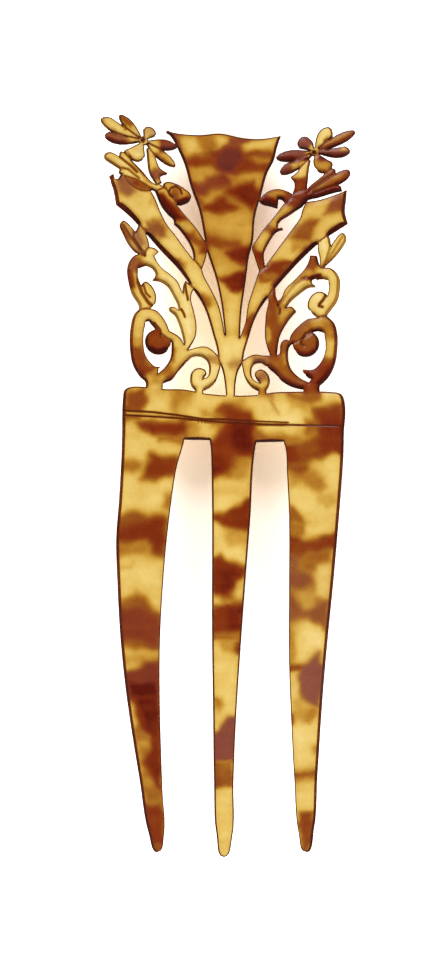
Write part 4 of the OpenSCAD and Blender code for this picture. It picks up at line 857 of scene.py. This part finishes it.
# Painted shade along the edges: where a light wall shows, the line between it and the face is fainter than
# the outline
shows = step(0.1, 0.4, inset)
outline_at = 1 - step(0.15 - 0.09 * shows, RIM_RINGS[-1] - 0.03 * shows, rim_d)
outline_at = np.where(on_rim, 1.0, outline_at)
# Painted shade on the face: the dark outline along the rim, with the grooves, engraved lines and hollows
face_line_shade = np.maximum(0.96 * outline_at * (1 - shows * np.clip(0.75 - wall_painted_shade, 0, 1)), dark)
# Painted shade: darker on the crest's down-facing bevels, and darker toward the rim
bevel = crest * step(0.3, 0.8, downward) * (1 - step(0.55, 0.95, rim_d))
tone = tone + bevel * (0.04 + 0.20 * tone) + (0.05 + 0.04 * crest) * (1 - step(0.1, 1.3, rim_d))
tone = np.clip(tone, 0.0, MOST_TONE)
shaded_wall_tone = np.clip(tone + wall_shade_tone, 0.0, MOST_TONE)
# Painted edge shade turns the colour to red-brown before it turns it to near black
tone += np.maximum(0.0, 0.80 - tone) * np.clip(1.3 * face_line_shade, 0, 1)
front_edge_shade = face_line_shade ** 2
back_edge_shade = 0.92 * outline_at ** 2
# How dark the painted edge shade is on each layer of points, from the front through the walls to the back
layer_edge_shade = (
    front_edge_shade,
    0.5 * (front_edge_shade + middle_edge_shade),
    middle_edge_shade,
    0.25 + 0.6 * middle_edge_shade,
    back_edge_shade,
)
WALL_STEPS = len(layer_edge_shade) - 1
layer_tone = [tone] + [shaded_wall_tone] * (WALL_STEPS - 1) + [tone]
front_xyz = on_shell(angle, z, deep_front)
back_xyz = on_shell(back_angle, back_z, deep_back)
layer_xyz = [front_xyz * (1 - k / WALL_STEPS) + back_xyz * k / WALL_STEPS for k in range(WALL_STEPS + 1)]
xyz = np.concatenate(layer_xyz) * MM
all_tone = np.concatenate(layer_tone)
all_mauve = np.tile(mauve, WALL_STEPS + 1)
all_edge_shade = np.concatenate(layer_edge_shade)
BACK = WALL_STEPS * COUNT


def wall_faces(rim):
    """Quads from front to back under directed edges that have the comb on their left."""
    quads = []
    for k in range(WALL_STEPS):
        a, b = rim[:, 0] + k * COUNT, rim[:, 1] + k * COUNT
        quads.append(np.stack([b, a, a + COUNT, b + COUNT], 1))
    return np.concatenate(quads)


rim_wall = wall_faces(edge)
normals = np.zeros((len(xyz), 3))
for faces in (tri, tri[:, ::-1] + BACK, rim_wall[:, :3], rim_wall[:, [0, 2, 3]]):
    n = np.cross(xyz[faces[:, 1]] - xyz[faces[:, 0]], xyz[faces[:, 2]] - xyz[faces[:, 0]])
    for corner in range(3):
        np.add.at(normals, faces[:, corner], n)
length = np.linalg.norm(normals, axis=1)
normals = np.where(length[:, None] > 1e-15, normals / np.maximum(length, 1e-15)[:, None], (0, -1, 0))


# ---- material ----
def srgb(r, g, b):
    """A colour given as 0 to 255 levels, as linear values."""
    out = []
    for c in (r, g, b):
        c = c / 255
        out.append(c / 12.92 if c <= 0.04045 else ((c + 0.055) / 1.055) ** 2.4)
    return (*out, 1.0)


# Colours of the mottling for a tone from 0 to 1
RAMP = [
    (0.0, (238, 212, 142)), (0.10, (229, 196, 108)), (0.20, (217, 177, 84)), (0.33, (197, 148, 54)),
    (0.48, (171, 112, 28)), (0.62, (146, 80, 19)), (0.78, (131, 50, 6)), (0.90, (118, 36, 4)),
    (1.0, (92, 18, 3)),
]
MAUVE = srgb(138, 86, 74)
# Colour of the painted shade along edges, grooves and hollows
EDGE_SHADE_COLOUR = srgb(58, 24, 6)


def tortoiseshell():
    """Polished horn: tone (the mottling, with painted shade on walls and rims), mauve and the painted edge
    shade come from the mesh, fine clouding from noise.
    """
    mat = bpy.data.materials.new("mottled_tortoiseshell")
    mat.use_nodes = True
    nodes, link = mat.node_tree.nodes, mat.node_tree.links.new
    bsdf = nodes["Principled BSDF"]

    def attribute(name):
        node = nodes.new("ShaderNodeAttribute")
        node.attribute_name = name
        return node.outputs["Fac"]

    def maths(operation, a, b):
        node = nodes.new("ShaderNodeMath")
        node.operation = operation
        for socket, value in zip(node.inputs, (a, b)):
            if isinstance(value, (int, float)):
                socket.default_value = value
            else:
                link(value, socket)
        return node.outputs[0]

    def mixed(factor, a, b):
        node = nodes.new("ShaderNodeMix")
        node.data_type = "RGBA"
        for socket, value in zip((node.inputs[0], node.inputs[6], node.inputs[7]), (factor, a, b)):
            if isinstance(value, tuple):
                socket.default_value = value
            else:
                link(value, socket)
        return node.outputs[2]

    place = nodes.new("ShaderNodeTexCoord").outputs["Object"]

    def noisy(scale, detail, rough):
        node = nodes.new("ShaderNodeTexNoise")
        link(place, node.inputs["Vector"])
        node.inputs["Scale"].default_value = scale
        node.inputs["Detail"].default_value = detail
        node.inputs["Roughness"].default_value = rough
        return node.outputs["Fac"]

    fine = noisy(1600, 3, 0.6)
    wide = noisy(420, 2, 0.5)
    wobble = maths("MULTIPLY", maths("SUBTRACT", fine, 0.5), 0.07)
    drift = maths("MULTIPLY", maths("SUBTRACT", wide, 0.5), 0.10)
    level = maths("ADD", attribute("tone"), maths("ADD", wobble, drift))
    ramp = nodes.new("ShaderNodeValToRGB")
    ramp.color_ramp.interpolation = "LINEAR"
    stops = ramp.color_ramp.elements
    while len(stops) < len(RAMP):
        stops.new(0.5)
    for stop, (at, colour) in zip(stops, RAMP):
        stop.position = at
        stop.color = srgb(*colour)
    link(level, ramp.inputs["Fac"])
    tinted = mixed(maths("MULTIPLY", attribute("mauve"), 0.75), ramp.outputs["Color"], MAUVE)
    # Painted shade: the dark lines along edges, grooves and hollows
    edge_shaded = mixed(maths("MULTIPLY", attribute("edge"), 0.88), tinted, EDGE_SHADE_COLOUR)
    link(edge_shaded, bsdf.inputs["Base Color"])
    polish = nodes.new("ShaderNodeMapRange")
    link(noisy(900, 4, 0.6), polish.inputs["Value"])
    polish.inputs["From Min"].default_value = 0.3
    polish.inputs["From Max"].default_value = 0.7
    polish.inputs["To Min"].default_value = 0.20
    polish.inputs["To Max"].default_value = 0.34
    link(polish.outputs["Result"], bsdf.inputs["Roughness"])
    bump = nodes.new("ShaderNodeBump")
    bump.inputs["Strength"].default_value = 0.12
    bump.inputs["Distance"].default_value = 0.00015
    link(noisy(1100, 4, 0.6), bump.inputs["Height"])
    link(bump.outputs["Normal"], bsdf.inputs["Normal"])
    bsdf.inputs["IOR"].default_value = 1.5
    bsdf.inputs["Specular IOR Level"].default_value = 0.24
    bsdf.inputs["Coat Weight"].default_value = 0.06
    bsdf.inputs["Coat Roughness"].default_value = 0.12
    return mat


shell = tortoiseshell()

# ---- one piece for each node ----
for at, name in enumerate(names):
    mine = tri[lab == at]
    outline = rim_edges(mine)
    faces_tri = np.concatenate([mine, mine[:, ::-1] + BACK])
    faces_wall = wall_faces(outline)
    used = np.unique(np.concatenate([faces_tri.ravel(), faces_wall.ravel()]))
    local = {g: i for i, g in enumerate(used.tolist())}
    faces = [tuple(local[v] for v in f) for f in faces_tri.tolist() + faces_wall.tolist()]
    mesh = bpy.data.meshes.new(name + "_carved")
    mesh.from_pydata([tuple(p) for p in xyz[used]], [], faces)
    mesh.polygons.foreach_set("use_smooth", [True] * len(mesh.polygons))
    mesh.normals_split_custom_set_from_vertices([tuple(n) for n in normals[used]])
    for label_name, values in (("tone", all_tone), ("mauve", all_mauve), ("edge", all_edge_shade)):
        layer = mesh.attributes.new(label_name, "FLOAT", "POINT")
        layer.data.foreach_set("value", values[used].astype(np.float32))
    mesh.materials.append(shell)
    piece = bpy.data.objects.new(name + "_carved", mesh)
    bpy.context.scene.collection.objects.link(piece)
    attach(piece, "root")
    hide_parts(name)


# ---- stage, in millimetres ----
FLOOR_Z = -92.0
FLOOR_HALF = 600.0
SHEET_Y = 10.0
SHEET_HALF = 60.0
SHEET_TOP = 110.0
WHITE = (1.0, 1.0, 1.0, 1.0)
OPEN_SHEET = (1.95, 1.90, 1.90, 1.0)
AMBER_SHADOW_COLOUR = (1.36, 1.28, 1.13, 1.0)
# Painted amber shadow and glow of the light through the comb, on the sheet: centre, radii, strength
PAINTED_AMBER_SHADOW = [((0, 54), (20, 25), 2.8), ((0, 30), (24, 26), 0.9),
              ((-6, -2), (13, 17), 2.2), ((8.6, -2), (13, 17), 2.2)]


def pale_floor():
    """A matt white."""
    mat = bpy.data.materials.new("pale_floor")
    mat.use_nodes = True
    bsdf = mat.node_tree.nodes["Principled BSDF"]
    bsdf.inputs["Base Color"].default_value = WHITE
    bsdf.inputs["Roughness"].default_value = 0.9
    bsdf.inputs["Specular IOR Level"].default_value = 0.0
    return mat


def pale_sheet():
    """A matt white with a painted amber shadow and glow from the comb. It is only seen from its front, and
    stops no light.
    """
    mat = bpy.data.materials.new("pale_sheet")
    mat.use_nodes = True
    nodes, link = mat.node_tree.nodes, mat.node_tree.links.new
    nodes.remove(nodes["Principled BSDF"])

    def clamped(operation):
        node = nodes.new("ShaderNodeMath")
        node.operation = operation
        node.use_clamp = True
        return node

    place = nodes.new("ShaderNodeTexCoord").outputs["Object"]
    total = None
    for (cx, cz), (rx, rz), strength in PAINTED_AMBER_SHADOW:
        around = nodes.new("ShaderNodeMapping")
        around.vector_type = "TEXTURE"
        around.inputs["Location"].default_value = (cx * MM, SHEET_Y * MM, cz * MM)
        around.inputs["Scale"].default_value = (rx * MM, 1.0, rz * MM)
        ball = nodes.new("ShaderNodeTexGradient")
        ball.gradient_type = "QUADRATIC_SPHERE"
        link(place, around.inputs["Vector"])
        link(around.outputs[0], ball.inputs["Vector"])
        amount = clamped("MULTIPLY_ADD")
        link(ball.outputs["Fac"], amount.inputs[0])
        amount.inputs[1].default_value = strength
        amount.inputs[2].default_value = 0.0
        if total:
            link(total, amount.inputs[2])
        total = amount.outputs[0]
    cast = nodes.new("ShaderNodeMix")
    cast.data_type = "RGBA"
    cast.inputs[6].default_value = OPEN_SHEET
    cast.inputs[7].default_value = AMBER_SHADOW_COLOUR
    link(total, cast.inputs[0])
    matt = nodes.new("ShaderNodeBsdfDiffuse")
    link(cast.outputs[2], matt.inputs["Color"])
    front_side = clamped("SUBTRACT")
    link(nodes.new("ShaderNodeLightPath").outputs["Is Camera Ray"], front_side.inputs[0])
    link(nodes.new("ShaderNodeNewGeometry").outputs["Backfacing"], front_side.inputs[1])
    mix = nodes.new("ShaderNodeMixShader")
    link(front_side.outputs[0], mix.inputs["Fac"])
    link(nodes.new("ShaderNodeBsdfTransparent").outputs[0], mix.inputs[1])
    link(matt.outputs[0], mix.inputs[2])
    link(mix.outputs[0], nodes["Material Output"].inputs["Surface"])
    return mat


def sheet(name, corners, mat):
    """A flat stage prop with four corners."""
    mesh = bpy.data.meshes.new(name)
    mesh.from_pydata([tuple(c * MM for c in p) for p in corners], [], [(0, 1, 2, 3)])
    mesh.materials.append(mat)
    obj = bpy.data.objects.new(name, mesh)
    bpy.context.scene.collection.objects.link(obj)
    return obj


AROUND = ((-1, -1), (1, -1), (1, 1), (-1, 1))
floor = sheet("floor", [(x * FLOOR_HALF, y * FLOOR_HALF, FLOOR_Z) for x, y in AROUND], pale_floor())
floor.visible_glossy = False
backdrop = [(x * SHEET_HALF, SHEET_Y, SHEET_TOP if up > 0 else FLOOR_Z) for x, up in AROUND]
sheet("backdrop", backdrop, pale_sheet())


def studio():
    """A world that is white to the camera, dim in reflections and soft on everything else."""
    world = bpy.data.worlds.new("studio")
    bpy.context.scene.world = world
    world.use_nodes = True
    nodes, link = world.node_tree.nodes, world.node_tree.links.new
    nodes.remove(nodes["Background"])
    ray = nodes.new("ShaderNodeLightPath")

    def sky(colour, strength):
        node = nodes.new("ShaderNodeBackground")
        node.inputs["Color"].default_value = colour
        node.inputs["Strength"].default_value = strength
        return node.outputs[0]

    def choose(kind, usual, special):
        node = nodes.new("ShaderNodeMixShader")
        link(ray.outputs[kind], node.inputs["Fac"])
        link(usual, node.inputs[1])
        link(special, node.inputs[2])
        return node.outputs[0]

    lit = choose("Is Glossy Ray", sky(WHITE, 0.34), sky((1.0, 0.97, 0.92, 1.0), 0.04))
    link(choose("Is Camera Ray", lit, sky(WHITE, 1.0)), nodes["World Output"].inputs["Surface"])


def softbox(name, place, size, power, shine):
    """A square lamp that faces the comb: place and size in metres, power in watts."""
    light = bpy.data.lights.new(name, "AREA")
    light.shape = "SQUARE"
    light.size = size
    light.energy = power
    obj = bpy.data.objects.new(name, light)
    obj.location = place
    aim = Vector((0, 0, -0.01)) - Vector(place)
    obj.rotation_euler = aim.to_track_quat("-Z", "Y").to_euler()
    obj.visible_glossy = shine
    bpy.context.scene.collection.objects.link(obj)


studio()
softbox("key", (-0.75, -0.75, 0.95), 0.7, 11, True)
softbox("fill", (0.95, -0.8, 0.35), 0.8, 6.4, False)
softbox("rear_left", (-0.8, 0.95, 0.6), 0.8, 9, False)
softbox("rear_right", (0.8, 0.95, 0.5), 0.8, 9, False)

# ---- camera ----
lens = bpy.data.cameras.new("camera")
lens.sensor_fit = "VERTICAL"
lens.sensor_height = 24.0
lens.lens = lens.sensor_height * VIEW_FAR / VIEW_TALL
lens.clip_start = 0.01
camera = bpy.data.objects.new("camera", lens)
camera.location = [c * MM for c in EYE]
camera.rotation_euler = (math.radians(90 + VIEW_LOW), 0, 0)
bpy.context.scene.collection.objects.link(camera)
bpy.context.scene.camera = camera
bpy.context.scene.view_settings.view_transform = "Standard"
